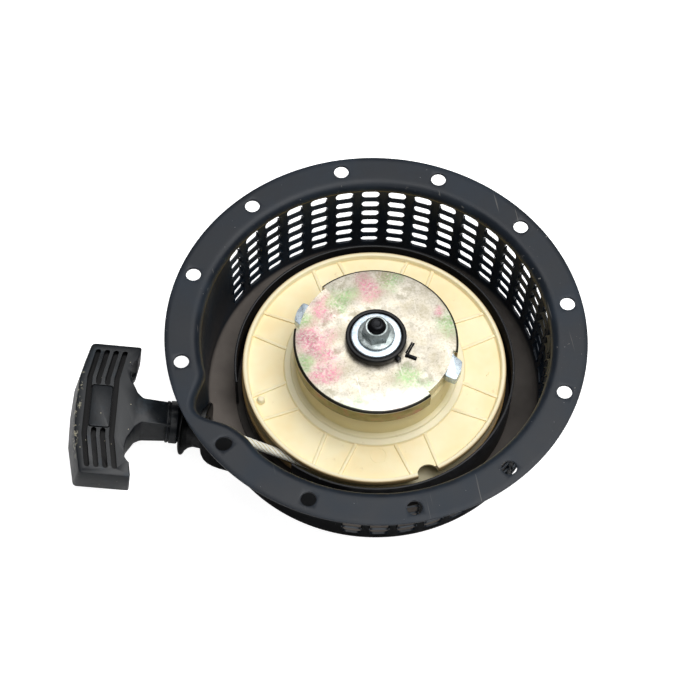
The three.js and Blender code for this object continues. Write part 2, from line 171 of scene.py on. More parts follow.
def turned(profile: Sequence[Sequence[float]], steps: int = 96, closed: bool = True) -> Mesh:
    """Surface of revolution about Z.

    Args:
        profile: Points as (radius, height).
        steps: Facets round the axis.
        closed: Whether the profile's last point joins its first.

    Returns:
        A new mesh in millimetres.
    """
    bm = bmesh.new()
    points = [bm.verts.new((x, 0.0, z)) for x, z in profile]
    following = points[1:] + points[:1] if closed else points[1:]
    edges = [bm.edges.new(pair) for pair in zip(points, following)]
    bmesh.ops.spin(
        bm, geom=points + edges, cent=(0, 0, 0), axis=(0, 0, 1), dvec=(0, 0, 0),
        angle=FULL_TURN, steps=steps, use_merge=True, use_normal_flip=False, use_duplicate=False,
    )
    return settled(bm)


def softened(bm: Mesh, width: float, degrees: float = 40, segments: int = 2) -> Mesh:
    """The mesh with every edge sharper than an angle bevelled."""
    limit = math.radians(degrees)
    edges = [e for e in bm.edges if len(e.link_faces) == 2 and e.calc_face_angle() > limit]
    bmesh.ops.bevel(
        bm, geom=edges, offset=width, offset_type="OFFSET", segments=segments, profile=0.5,
        affect="EDGES", clamp_overlap=True, material=-1,
    )
    return bm


def slab(outline: Iterable[Sequence[float]], bottom: float, top: float, edge: float = 0.0) -> Mesh:
    """Flat outline raised between two heights, its rims softened by the edge width."""
    bm = bmesh.new()
    face = bm.faces.new([bm.verts.new((x, y, bottom)) for x, y in outline])
    raised = bmesh.ops.extrude_face_region(bm, geom=[face], use_keep_orig=True)["geom"]
    risen = [item for item in raised if isinstance(item, bmesh.types.BMVert)]
    bmesh.ops.translate(bm, verts=risen, vec=(0, 0, top - bottom))
    settled(bm)
    return softened(bm, edge) if edge else bm


def joined(parts: Iterable[Mesh]) -> Mesh:
    """All the meshes as one; the parts are used up."""
    whole = bmesh.new()
    for part in parts:
        carrier = bpy.data.meshes.new("carrier")
        part.to_mesh(carrier)
        part.free()
        whole.from_mesh(carrier)
        bpy.data.meshes.remove(carrier)
    return whole


def placed(bm: Mesh, matrix: Matrix) -> Mesh:
    """The mesh moved by a matrix in millimetres."""
    bmesh.ops.transform(bm, matrix=matrix, verts=bm.verts)
    return bm


def turn_by(degrees: float, axis: str = "Z") -> Matrix:
    """Rotation about one axis."""
    return Matrix.Rotation(math.radians(degrees), 4, axis)


def heading(degrees: float, start: Vector) -> Matrix:
    """Matrix that lays local +Z along a level heading from a start point."""
    turn = Vector((0, 0, 1)).rotation_difference(polar(1, degrees))
    return Matrix.Translation(start) @ turn.to_matrix().to_4x4()


def spline(points: Sequence[Vector], steps: int) -> list[Vector]:
    """Smooth curve through the points, with a number of steps between neighbours."""
    padded = [points[0] * 2 - points[1], *points, points[-1] * 2 - points[-2]]
    curve = []
    for a, b, c, d in zip(padded, padded[1:], padded[2:], padded[3:]):
        for i in range(steps):
            t = i / steps
            square, cube = 2 * a - 5 * b + 4 * c - d, 3 * b - a - 3 * c + d
            curve.append(0.5 * (2 * b + (c - a) * t + square * t ** 2 + cube * t ** 3))
    return [*curve, points[-1].copy()]


def carved(
    bm: Mesh, tool: Mesh, operation: str = "DIFFERENCE",
) -> Mesh:
    """The mesh after a cut by a tool mesh; both are used up.

    Args:
        bm: Closed mesh to work on.
        tool: Closed mesh that is taken away, added or kept in common.
        operation: DIFFERENCE, UNION or INTERSECT.

    Returns:
        A new mesh.
    """
    objects = []
    for part, name in ((bm, "blank"), (tool, "tool")):
        mesh = bpy.data.meshes.new(name)
        part.to_mesh(mesh)
        part.free()
        objects.append(bpy.data.objects.new(name, mesh))
        bpy.context.scene.collection.objects.link(objects[-1])
    cut = objects[0].modifiers.new("cut", "BOOLEAN")
    cut.object = objects[1]
    cut.operation = operation
    cut.solver = "EXACT"
    result = bmesh.new()
    result.from_object(objects[0], bpy.context.evaluated_depsgraph_get())
    for obj in objects:
        bpy.data.meshes.remove(obj.data)
    return result


@dataclass(frozen=True)
class Place:
    """Where a finished piece belongs: its body, its material slot and the solids it stands for."""

    body: Body
    slot: Slot
    replaces: tuple[str, ...] = ()


def piece(
    bm: Mesh, name: str, finish: "Finish", place: Place, sharp: float = 42,
) -> bpy.types.Object:
    """Turns a mesh in millimetres into a piece of the object.

    Args:
        bm: The mesh, which is used up.
        name: Name of the piece.
        finish: Finish of its surface.
        place: Body, slot and replaced solids; the slot is not used.
        sharp: Angle in degrees above which an edge is drawn sharp.

    Returns:
        The new object.
    """
    bmesh.ops.scale(bm, vec=(MM, MM, MM), verts=bm.verts)
    mesh = bpy.data.meshes.new(name)
    bm.to_mesh(mesh)
    bm.free()
    mesh.shade_smooth()
    mesh.set_sharp_from_angle(angle=math.radians(sharp))
    mesh.materials.append(finish.material())
    obj = bpy.data.objects.new(name, mesh)
    bpy.context.scene.collection.objects.link(obj)
    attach(obj, place.body.value)
    if place.replaces:
        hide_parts(*place.replaces)
    LOG.info("%s: %d faces on %s", name, len(mesh.polygons), place.body.value)
    return obj


def dress_node(node: str, finish: "Finish") -> None:
    """Gives a solid that stays in view its finish."""
    mesh = frame["nodes"][node].data
    mesh.materials.clear()
    mesh.materials.append(finish.material())


# ---------- finishes ----------
def linear(hex_colour: str) -> tuple[float, float, float, float]:
    """Linear RGBA of an sRGB hex colour such as '1b1d21'."""
    channels = [int(hex_colour[i:i + 2], 16) / 255 for i in (0, 2, 4)]
    return (*(c / 12.92 if c <= 0.04045 else ((c + 0.055) / 1.055) ** 2.4 for c in channels), 1.0)


def per_mm(size: float) -> float:
    """Texture scale whose features measure this many millimetres."""
    return 1.0 / (size * MM)


def wire(tree: bpy.types.NodeTree, node: Node, inputs: Feeds) -> None:
    """Sets a node's sockets, or links them.

    Args:
        tree: The node tree.
        node: The node to feed.
        inputs: What feeds each socket, by its name or number or in order: a value, an output
            socket, or a node that gives its first live output.
    """
    for key, feed in inputs.items() if isinstance(inputs, dict) else enumerate(inputs):
        if isinstance(feed, Node):
            feed = next(output for output in feed.outputs if output.enabled)
        if isinstance(feed, Socket):
            tree.links.new(feed, node.inputs[key])
        else:
            node.inputs[key].default_value = feed


def add_node(
    tree: bpy.types.NodeTree, kind: str, inputs: Feeds = (), stops: Sequence[tuple[float, str]] = (),
    **settings: object,
) -> Node:
    """Adds a node with its settings and links.

    Args:
        tree: The node tree.
        kind: Node type without its ShaderNode prefix.
        inputs: What feeds the node, as wire takes it.
        stops: A colour ramp's (position, hex colour) pairs.
        settings: The node's own properties.

    Returns:
        The new node.
    """
    node = tree.nodes.new("ShaderNode" + kind)
    for key, value in settings.items():
        setattr(node, key, value)
    while len(stops) > 2 and len(node.color_ramp.elements) < len(stops):
        node.color_ramp.elements.new(0.5)
    for i, (position, colour) in enumerate(stops):
        node.color_ramp.elements[i].position = position
        node.color_ramp.elements[i].color = linear(colour)
    wire(tree, node, inputs)
    return node


@dataclass(frozen=True)
class Finish:
    """A surface finish; each kind paints its own nodes."""

    name: str

    @functools.cache
    def material(self) -> bpy.types.Material:
        """The finish's material, made once."""
        material = bpy.data.materials.new(self.name)
        material.use_nodes = True
        tree = material.node_tree
        add = functools.partial(add_node, tree)
        wire(tree, tree.nodes["Principled BSDF"], self.paint(add, add("TexCoord").outputs["Object"]))
        return material

    def paint(self, add: Adder, where: Socket) -> Feeds:
        """Adds the finish's nodes.

        Args:
            add: Adds a node to the finish's own tree.
            where: Object coordinates.

        Returns:
            What feeds the shader.
        """
        raise NotImplementedError

    @staticmethod
    def clouds(add: Adder, where: Socket, details: dict[float, float]) -> dict[float, Node]:
        """Soft cloudy patterns by the size of their features in millimetres, from the detail of each."""
        return {
            size: add(
                "TexNoise", {"Vector": where, "Scale": per_mm(size), "Detail": detail, "Roughness": 0.6},
            )
            for size, detail in details.items()
        }

    @staticmethod
    def covered(add: Adder, colour: object, *films: tuple[Node, object]) -> Node:
        """A colour covered by one film after another, each given as its share and its colour."""
        for share, tint in films:
            tint = linear(tint) if isinstance(tint, str) else tint
            colour = add("Mix", {0: share, 6: colour, 7: tint}, data_type="RGBA")
        return colour

    @staticmethod
    def specks(add: Adder, where: Socket, spacing: float, size: float, share: float) -> Node:
        """Scattered dots, 1 inside and 0 outside.

        Args:
            add: Adds a node.
            where: Coordinates.
            spacing: Distance between possible dots in millimetres.
            size: Radius of a dot in millimetres.
            share: Share of the places that hold one.

        Returns:
            The node that gives the dots.
        """
        cells = add("TexVoronoi", {"Vector": where, "Scale": per_mm(spacing), "Randomness": 1.0}).outputs
        near = add(
            "MapRange", (cells["Distance"], size / spacing, 0.6 * size / spacing), interpolation_type=EASED,
        )
        pick = add("SeparateColor", (cells["Color"],))
        picked = add("Math", (pick, share), operation="LESS_THAN")
        return add("Math", (near, picked), operation="MULTIPLY")

    @staticmethod
    def scratches(add: Adder, where: Socket, size: float, degrees: float) -> Node:
        """Thin straight marks, 1 on a mark; they run across the plan at an angle."""
        stretch = {"Vector": where, "Rotation": (0, 0, math.radians(degrees)), "Scale": (1.0, 0.04, 1.0)}
        lines = add("TexNoise", {"Vector": add("Mapping", stretch), "Scale": per_mm(size), "Detail": 2.0})
        return add("MapRange", (lines, 0.70, 0.76), interpolation_type=EASED)


@dataclass(frozen=True)
class BlackEnamel(Finish):
    """Sprayed and baked black enamel on stamped steel: blue-grey sheen, orange peel, chips and dust."""

    colour: str = "121820"
    dusty_colour: str = "1d2630"
    floor_colour: str = "706963"
    # Painted reflection: colour and height of the tan line where the cream reel is mirrored in the flange
    # bend.
    reel_glint_colour: str = "5c5030"
    chip_colour: str = "8d8a84"
    reel_glint_height: float = 62.2
    painted_highlight_colour: str = ""
    sheen: float = 0.26

    def paint(self, add: Adder, where: Socket) -> Feeds:
        """Enamel with a dusty inner floor, painted shade on the floor towards +X, a painted reflection of
        the reel as a tan line under the flange bend, and chipped edges.
        """
        x, _, height = add("SeparateXYZ", (where,)).outputs
        cloud = self.clouds(add, where, {38: 3, 26: 3, 21: 3, 2.6: 5, 1.1: 3})
        dusty = add("MapRange", (cloud[38], 0.35, 0.7), interpolation_type=EASED)
        over_back = add("MapRange", (height, 0.9 * MM, 1.3 * MM), interpolation_type=EASED)
        under_wall = add("MapRange", (height, 5.0 * MM, 1.9 * MM), interpolation_type=EASED)
        on_floor = add("Math", (over_back, under_wall), operation="MULTIPLY")
        grey = add("ValToRGB", (cloud[26],), stops=[(0.3, "5b5550"), (0.7, self.floor_colour)])
        # Painted shade: the grey floor is darkened towards +X.
        shade = add("MapRange", (x, 20 * MM, 95 * MM, 0.0, 0.6), interpolation_type=EASED)
        grey = self.covered(add, grey, (shade, "1c1b1a"))
        colour = self.covered(add, linear(self.colour), (dusty, self.dusty_colour), (on_floor, grey))
        # Painted highlight: faces that look outwards are lightened to grey, as where the louvres catch
        # light.
        if self.painted_highlight_colour:
            flat = add("VectorMath", (where, (1, 1, 0)), operation="MULTIPLY")
            outwards = add("VectorMath", (flat,), operation="NORMALIZE")
            normal = add("TexCoord").outputs["Normal"]
            facing = add("VectorMath", (outwards, normal), operation="DOT_PRODUCT")
            outside = add("MapRange", (facing, 0.3, 0.6), interpolation_type=EASED)
            colour = self.covered(add, colour, (outside, self.painted_highlight_colour))
        # Painted reflection: a thin tan line at this height stands in for the reel mirrored in the flange
        # bend.
        above_reel_glint = add("Math", (height, self.reel_glint_height * MM), operation="SUBTRACT")
        from_reel_glint = add("Math", (above_reel_glint,), operation="ABSOLUTE")
        on_reel_glint = add("MapRange", (from_reel_glint, 0.55 * MM, 0.15 * MM), interpolation_type=EASED)
        dust = add("Math", (self.specks(add, where, 4.2, 0.30, 0.36), 0.8), operation="MULTIPLY")
        chips = add("MapRange", (cloud[2.6], 0.66, 0.70), interpolation_type=EASED)
        patches = add("MapRange", (cloud[21], 0.50, 0.62), interpolation_type=EASED)
        to_right = add("MapRange", (x, 70 * MM, 108 * MM), interpolation_type=EASED)
        high = add("MapRange", (height, 60 * MM, 66 * MM), interpolation_type=EASED)
        for limit in (patches, to_right, high):
            chips = add("Math", (chips, limit), operation="MULTIPLY")
        marks = self.scratches(add, where, 2.4, 35)
        for limit in (high, 0.28):
            marks = add("Math", (marks, limit), operation="MULTIPLY")
        worn = add("Math", (chips, marks), operation="MAXIMUM")
        colour = self.covered(
            add, colour, (on_reel_glint, self.reel_glint_colour), (dust, "77787a"), (worn, self.chip_colour),
        )
        gloss = add("MapRange", (cloud[38], 0.3, 0.75, 0.34, 0.5), interpolation_type=EASED)
        matt = add("Math", (on_floor, 0.4), operation="MULTIPLY")
        return {
            "Base Color": colour,
            "Roughness": add("Math", (gloss, matt), operation="ADD"),
            "Specular IOR Level": self.sheen,
            "Normal": add("Bump", {"Height": cloud[1.1], "Distance": 0.012 * MM}),
        }


@dataclass(frozen=True)
class IvoryNylon(Finish):
    """Injection-moulded natural nylon: waxy, slightly see-through, amber where it is thin or stained."""

    colour: str = "f9ebc0"
    shade: str = "f5dfa8"
    pale: str = "efe8c8"
    amber: str = "a98240"
    # Painted shade: olive tints the hub step and deep darkens the reel below the web.
    olive: str = "d2c58c"
    deep: str = "6a6036"

    def paint(self, add: Adder, where: Socket) -> Feeds:
        """Cloudy ivory with amber rings where walls meet, painted shade at the hub step and below the web,
        and a fine moulded skin.
        """
        height = add("SeparateXYZ", (where,)).outputs["Z"]
        flat = add("VectorMath", (where, (1, 1, 0)), operation="MULTIPLY")
        radius = add("VectorMath", (flat,), operation="LENGTH")
        cloud = self.clouds(add, where, {30: 3, 14: 3, 9: 5, 1.6: 5})
        colour = add("ValToRGB", (cloud[30],), stops=[(0.3, self.shade), (0.62, self.colour)])
        over_web = add("MapRange", (height, 27.2 * MM, 28.6 * MM), interpolation_type=EASED)
        under_hub = add("MapRange", (height, 31 * MM, 30 * MM), interpolation_type=EASED)
        raised = add("Math", (over_web, under_hub), operation="MULTIPLY")
        # Painted shade: the hub step is tinted a darker olive.
        within_step = add("MapRange", (radius, 52 * MM, 47 * MM), interpolation_type=EASED)
        past_hub = add("MapRange", (radius, 43 * MM, 46 * MM), interpolation_type=EASED)
        at_hub = add("Math", (within_step, past_hub), operation="MULTIPLY")
        # Painted shade: the reel is darkened below the web, in the rope groove and on the lower flange.
        in_painted_shade = add("MapRange", (height, 24 * MM, 19 * MM, 0.0, 0.75), interpolation_type=EASED)
        at_rim = add("MapRange", (radius, 77.6 * MM, 79.4 * MM, 0.0, 0.75), interpolation_type=EASED)
        blotch = add("MapRange", (cloud[9], 0.62, 0.8, 0.0, 0.45), interpolation_type=EASED)
        colour = self.covered(
            add, colour,
            (add("Math", (raised, 0.7), operation="MULTIPLY"), self.pale),
            (add("Math", (at_hub, 0.7), operation="MULTIPLY"), self.olive),
            (in_painted_shade, self.deep),
            (add("Math", (at_rim, blotch), operation="MAXIMUM"), self.amber),
            (add("Math", (self.specks(add, where, 7, 0.28, 0.2), 0.5), operation="MULTIPLY"), "6b5226"),
        )
        return {
            "Base Color": colour,
            "Roughness": add("MapRange", (cloud[14], 0.3, 0.7, 0.36, 0.52), interpolation_type=EASED),
            "Subsurface Weight": 0.12,
            "Subsurface Radius": (0.004, 0.003, 0.0015),
            "IOR": 1.53,
            "Normal": add("Bump", {"Height": cloud[1.6], "Distance": 0.02 * MM}),
        }


@dataclass(frozen=True)
class YellowZinc(Finish):
    """Zinc plate with a yellow passivate: pale gold metal with drifting green and pink patches.

    A patch is (x, y, radius) in millimetres on the top of the plate.
    """

    pink: tuple[tuple[float, float, float], ...] = (
        (1, 37, 11), (15, 42, 6), (-26, 26, 10), (-37, 6, 13), (-30, -6, 9), (-36, -18, 10), (4, -47, 9),
        (40, 14, 6),
    )
    green: tuple[tuple[float, float, float], ...] = (
        (17, 40, 9), (-16, 31, 9), (14, -30, 10), (43, 4, 10), (-43, 20, 9), (25, -40, 9), (-22, -43, 10),
        (-44, -8, 7),
    )
    edge: float = 48.0
    shoulder: float = 56.9

    @staticmethod
    def patches(add: Adder, where: Node, spots: Sequence[tuple[float, float, float]], film: Node) -> Node:
        """Share of one colour of the film: strongest in the middle of a patch, 0 outside them all."""
        share = None
        for x, y, radius in spots:
            reach = add("VectorMath", (where, (x * MM, y * MM, 0)), operation="DISTANCE")
            patch = add(
                "MapRange", (reach, radius * 1.25 * MM, radius * 0.2 * MM), interpolation_type=EASED,
            )
            share = add("Math", (share, patch), operation="MAXIMUM") if share is not None else patch
        return add("Math", (share, film), operation="MULTIPLY")

    def paint(self, add: Adder, where: Socket) -> Feeds:
        """Iridescent patches, cloudy grain, a painted highlight paler towards -Y, olive skirt and a painted
        dark reflection along the rim's bend.
        """
        _, y, height = add("SeparateXYZ", (where,)).outputs
        flat = add("VectorMath", (where, (1, 1, 0)), operation="MULTIPLY")
        radius = add("VectorMath", (flat,), operation="LENGTH")
        warp = add("TexNoise", {"Vector": where, "Scale": per_mm(13), "Detail": 6.0}).outputs["Color"]
        moved = add("VectorMath", (warp, (0.022, 0.022, 0), flat), operation="MULTIPLY_ADD")
        moved = add("VectorMath", (moved, (0.011, 0.011, 0)), operation="SUBTRACT")
        cloud = self.clouds(add, where, {12: 8, 9: 6, 6: 6, 2.0: 8, 1.5: 8, 1.1: 4, 0.9: 4})
        colour = add("ValToRGB", (cloud[12],), stops=[
            (0.36, "a39c8b"), (0.45, "b9b2a2"), (0.55, "c4beb1"), (0.66, "aca694"),
        ])
        film = add("MapRange", (cloud[1.5], 0.36, 0.62, 0.18, 0.90), interpolation_type=EASED)
        stains = self.specks(add, where, 2.2, 0.30, 0.34)
        marks = self.scratches(add, where, 1.6, 52)
        below = add(
            "MapRange", (height, self.shoulder * MM, (self.shoulder - 0.9) * MM), interpolation_type=EASED,
        )
        olive = add("ValToRGB", (cloud[9],), stops=[(0.35, "75682f"), (0.5, "807a40"), (0.65, "99664c")])
        past_edge = add(
            "MapRange", (radius, (self.edge - 0.9) * MM, (self.edge - 0.3) * MM), interpolation_type=EASED,
        )
        bend = add(
            "MapRange", (height, (self.shoulder - 0.2) * MM, (self.shoulder + 0.3) * MM, 0.0, 0.93),
            interpolation_type=EASED,
        )
        colour = self.covered(
            add, colour,
            (self.patches(add, moved, self.pink, film), "bb7088"),
            (self.patches(add, moved, self.green, film), "86a974"),
            (add("MapRange", (cloud[1.1], 0.46, 0.60, 0.0, 0.34), interpolation_type=EASED), "857c64"),
            (add("Math", (stains, 0.8), operation="MULTIPLY"), "3a3425"),
            (add("MapRange", (cloud[2.0], 0.58, 0.70, 0.0, 0.5), interpolation_type=EASED), "7c7352"),
            (add("Math", (marks, 0.5), operation="MULTIPLY"), "f2f1e6"),
            # Painted highlight: the plate is lightened towards -Y, its near side.
            (add("MapRange", (y, -26 * MM, -52 * MM, 0.0, 0.7), interpolation_type=EASED), "dcdcd4"),
            (add("Math", (below, 0.9), operation="MULTIPLY"), olive),
            # Painted reflection: a dark line along the rolled rim, where the bend mirrors dark
            # surroundings.
            (add("Math", (past_edge, bend), operation="MULTIPLY"), "16150f"),
        )
        return {
            "Base Color": colour,
            "Metallic": 0.85,
            "Roughness": add("MapRange", (cloud[6], 0.3, 0.7, 0.30, 0.50), interpolation_type=EASED),
            "Normal": add("Bump", {"Height": cloud[0.9], "Distance": 0.012 * MM}),
        }


@dataclass(frozen=True)
class BrightZinc(Finish):
    """Zinc plate with a blue passivate: cool bright metal with a faint tumbled texture."""

    pale: str = "cdd8df"
    dark: str = "a9b8c3"
    metallic: float = 0.75

    def paint(self, add: Adder, where: Socket) -> Feeds:
        """Cool cloudy metal, tumbling marks and a few dark specks."""
        cloud = self.clouds(add, where, {5: 5, 2.0: 5, 0.7: 4})
        colour = add("ValToRGB", (cloud[5],), stops=[(0.35, self.dark), (0.65, self.pale)])
        dirt = add("Math", (self.specks(add, where, 3.5, 0.25, 0.2), 0.5), operation="MULTIPLY")
        return {
            "Base Color": self.covered(add, colour, (dirt, "4d4f50")),
            "Metallic": self.metallic,
            "Roughness": add("MapRange", (cloud[2.0], 0.3, 0.7, 0.22, 0.42), interpolation_type=EASED),
            "Normal": add("Bump", {"Height": cloud[0.7], "Distance": 0.01 * MM}),
        }


@dataclass(frozen=True)
class OiledSteel(Finish):
    """Rolled or turned steel under a film of oil: dark, with brown bloom and soft highlights."""

    colour: str = "5d6065"
    bloom: str = "4a4038"
    roughness: float = 0.38

    def paint(self, add: Adder, where: Socket) -> Feeds:
        """Grey metal, brown bloom and fine grain."""
        cloud = self.clouds(add, where, {7: 4, 1.5: 4, 0.5: 3})
        share = add("MapRange", (cloud[7], 0.45, 0.75), interpolation_type=EASED)
        rough = (cloud[1.5], 0.3, 0.7, self.roughness - 0.08, self.roughness + 0.1)
        return {
            "Base Color": self.covered(add, linear(self.colour), (share, self.bloom)),
            "Metallic": 0.9,
            "Roughness": add("MapRange", rough, interpolation_type=EASED),
            "Normal": add("Bump", {"Height": cloud[0.5], "Distance": 0.01 * MM}),
        }


@dataclass(frozen=True)
class BlackPlastic(Finish):
    """Injection-moulded black polypropylene: fine spark-eroded grain, grey rub marks and paint flecks.

    The flecks gather past edge_reach millimetres along edge_axis, the upper edge of the handle's face.
    """

    colour: str = "0b1015"
    rubbed: str = "1e2830"
    fleck: str = "b9b39a"
    fleck_share: float = 0.12
    edge_axis: tuple[float, float, float] = (-0.9711, 0.2100, 0.1132)
    edge_reach: float = 176.0
    scuffed_above: float = 31.0
    roughness: float = 0.32
    sheen: float = 0.30

    def paint(self, add: Adder, where: Socket) -> Feeds:
        """Near black with rubbed patches, flecks and a grained skin."""
        cloud = self.clouds(add, where, {11: 6, 2.6: 4, 0.45: 2})
        rub = add("MapRange", (cloud[11], 0.52, 0.74), interpolation_type=EASED)
        along = add("VectorMath", (where, self.edge_axis), operation="DOT_PRODUCT")
        at_edge = add(
            "MapRange", (along, (self.edge_reach - 2.0) * MM, (self.edge_reach + 0.5) * MM),
            interpolation_type=EASED,
        )
        height = add("SeparateXYZ", (where,)).outputs["Z"]
        high = add(
            "MapRange", (height, self.scuffed_above * MM, (self.scuffed_above + 9.0) * MM),
            interpolation_type=EASED,
        )
        scuffs = add("MapRange", (cloud[2.6], 0.56, 0.60), interpolation_type=EASED)
        for limit in (at_edge, high):
            scuffs = add("Math", (scuffs, limit), operation="MULTIPLY")
        flecks = self.specks(add, where, 3.6, 0.38, self.fleck_share)
        flecks = add("Math", (flecks, scuffs), operation="MAXIMUM")
        flecks = add("Math", (flecks, 0.7), operation="MULTIPLY")
        worn = add("Math", (rub, 0.12), operation="MULTIPLY")
        return {
            "Base Color": self.covered(add, linear(self.colour), (rub, self.rubbed), (flecks, self.fleck)),
            "Roughness": add("Math", (worn, self.roughness), operation="ADD"),
            "Specular IOR Level": self.sheen,
            "Normal": add("Bump", {"Height": cloud[0.45], "Distance": 0.03 * MM}),
        }


@dataclass(frozen=True)
class SinteredBronze(Finish):
    """Pressed and sintered bronze soaked in oil: brown metal with open pores."""

    def paint(self, add: Adder, where: Socket) -> Feeds:
        """Cloudy brown metal pitted with dark pores."""
        cloud = self.clouds(add, where, {3: 5, 0.5: 3})
        colour = add("ValToRGB", (cloud[3],), stops=[(0.35, "6b4a26"), (0.65, "9a7443")])
        return {
            "Base Color": self.covered(add, colour, (self.specks(add, where, 0.6, 0.14, 0.5), "2c1f12")),
            "Metallic": 0.8,
            "Roughness": 0.5,
            "Normal": add("Bump", {"Height": cloud[0.5], "Distance": 0.03 * MM}),
        }


@dataclass(frozen=True)
class LaidRope(Finish):
    """Twisted polyester cord: glossy cream yarns in helical strands, with painted amber shade between them
    and painted highlights on their crowns.

    The cord's own map holds turns round it and millimetres along it.
    """

    colour: str = "fff5cf"
    shadow: str = "b59b58"
    highlight: str = "fffff6"
    lay_length: float = 26.0
    strands: int = 8

    def paint(self, add: Adder, where: Socket) -> Feeds:
        """Strands and the finer yarns in them, from the cord's own map."""
        around, along, _ = add("SeparateXYZ", (add("UVMap", uv_map="lay"),)).outputs
        twist = add("Math", (along, self.lay_length), operation="DIVIDE")
        helix = add("Math", (around, twist), operation="SUBTRACT")
        waves = []
        for count in (self.strands, self.strands * 5):
            phase = add("Math", (helix, math.pi * count), operation="MULTIPLY")
            wave = add("Math", (phase,), operation="COSINE")
            waves.append(add("Math", (wave,), operation="ABSOLUTE"))
        fuzz = self.clouds(add, where, {0.8: 4})[0.8]
        tone = 0.0
        for pattern, weight in ((waves[0], 0.62), (waves[1], 0.18), (fuzz, 0.25)):
            tone = add("Math", (pattern, weight, tone), operation="MULTIPLY_ADD")
        return {
            # Painted shade in the troughs between strands and painted highlight on their crowns.
            "Base Color": add("ValToRGB", (tone,), stops=[
                (0.24, self.shadow), (0.46, self.colour), (0.8, self.highlight),
            ]),
            "Roughness": 0.6,
            "Sheen Weight": 0.6,
            "Normal": add("Bump", {"Height": waves[1], "Distance": 0.12 * MM}),
        }


@dataclass(frozen=True)
class PackedYarn(Finish):
    """Cord end pulled into a knot: cream yarns in tight bundles."""

    def paint(self, add: Adder, where: Socket) -> Feeds:
        """Wavy bands of yarn with a fuzzy edge."""
        waves = {"Vector": where, "Scale": per_mm(9), "Distortion": 4.0, "Detail": 2.0}
        bands = add("TexWave", waves).outputs["Fac"]
        return {
            "Base Color": add("ValToRGB", (bands,), stops=[(0.1, "a08a55"), (0.6, "f0e6c6")]),
            "Roughness": 0.8,
            "Normal": add("Bump", {"Height": bands, "Distance": 0.4 * MM}),
        }


ENAMEL = BlackEnamel("baked black enamel")
NYLON = IvoryNylon("moulded natural nylon")
YELLOW_ZINC = YellowZinc("yellow passivated zinc")
BRIGHT_ZINC = BrightZinc("blue passivated zinc")
NUT_ZINC = BrightZinc("blue passivated zinc, forged nut", pale="bcc5c4", dark="87918f", metallic=0.6)
STEEL = OiledSteel("oiled steel")
BLACK_OXIDE = OiledSteel("black oxide steel", colour="1d1e20", bloom="141414", roughness=0.34)
HANDLE_PLASTIC = BlackPlastic("grained black polypropylene")
# Painted shade: a darker copy of the handle's plastic for the channel floors and walls.
GROOVE_SHADE_PLASTIC = BlackPlastic(
    "moulded black polypropylene, painted shade in grooves", colour="030304", rubbed="0a0b0d", sheen=0.1,
)
GLOSS_PLASTIC = BlackPlastic(
    "moulded black nylon", colour="060708", rubbed="0c0d0f", fleck_share=0.03, roughness=0.30, sheen=0.22,
)
BRONZE = SinteredBronze("sintered bronze")
CORD = LaidRope("twisted polyester cord")
KNOT = PackedYarn("knotted cord")
GUARD_PAINT = BlackEnamel(
    "baked black enamel, inside", colour="121315", dusty_colour="1b1c1f", floor_colour="2b2826",
    reel_glint_height=-5.0,
)
# Painted shade: the outer skin is a darker copy of the enamel, standing in for the shade on the bowl's
# outside.
OUTSIDE_SHADED_PAINT = BlackEnamel(
    "baked black enamel, outside, painted shade", colour="08090b", dusty_colour="0e1013", sheen=0.05,
)
# Louvres with a painted highlight on their outward faces.
LOUVRE_HIGHLIGHT_PAINT = BlackEnamel("baked black enamel, louvres with painted highlight", painted_highlight_colour="666b71")


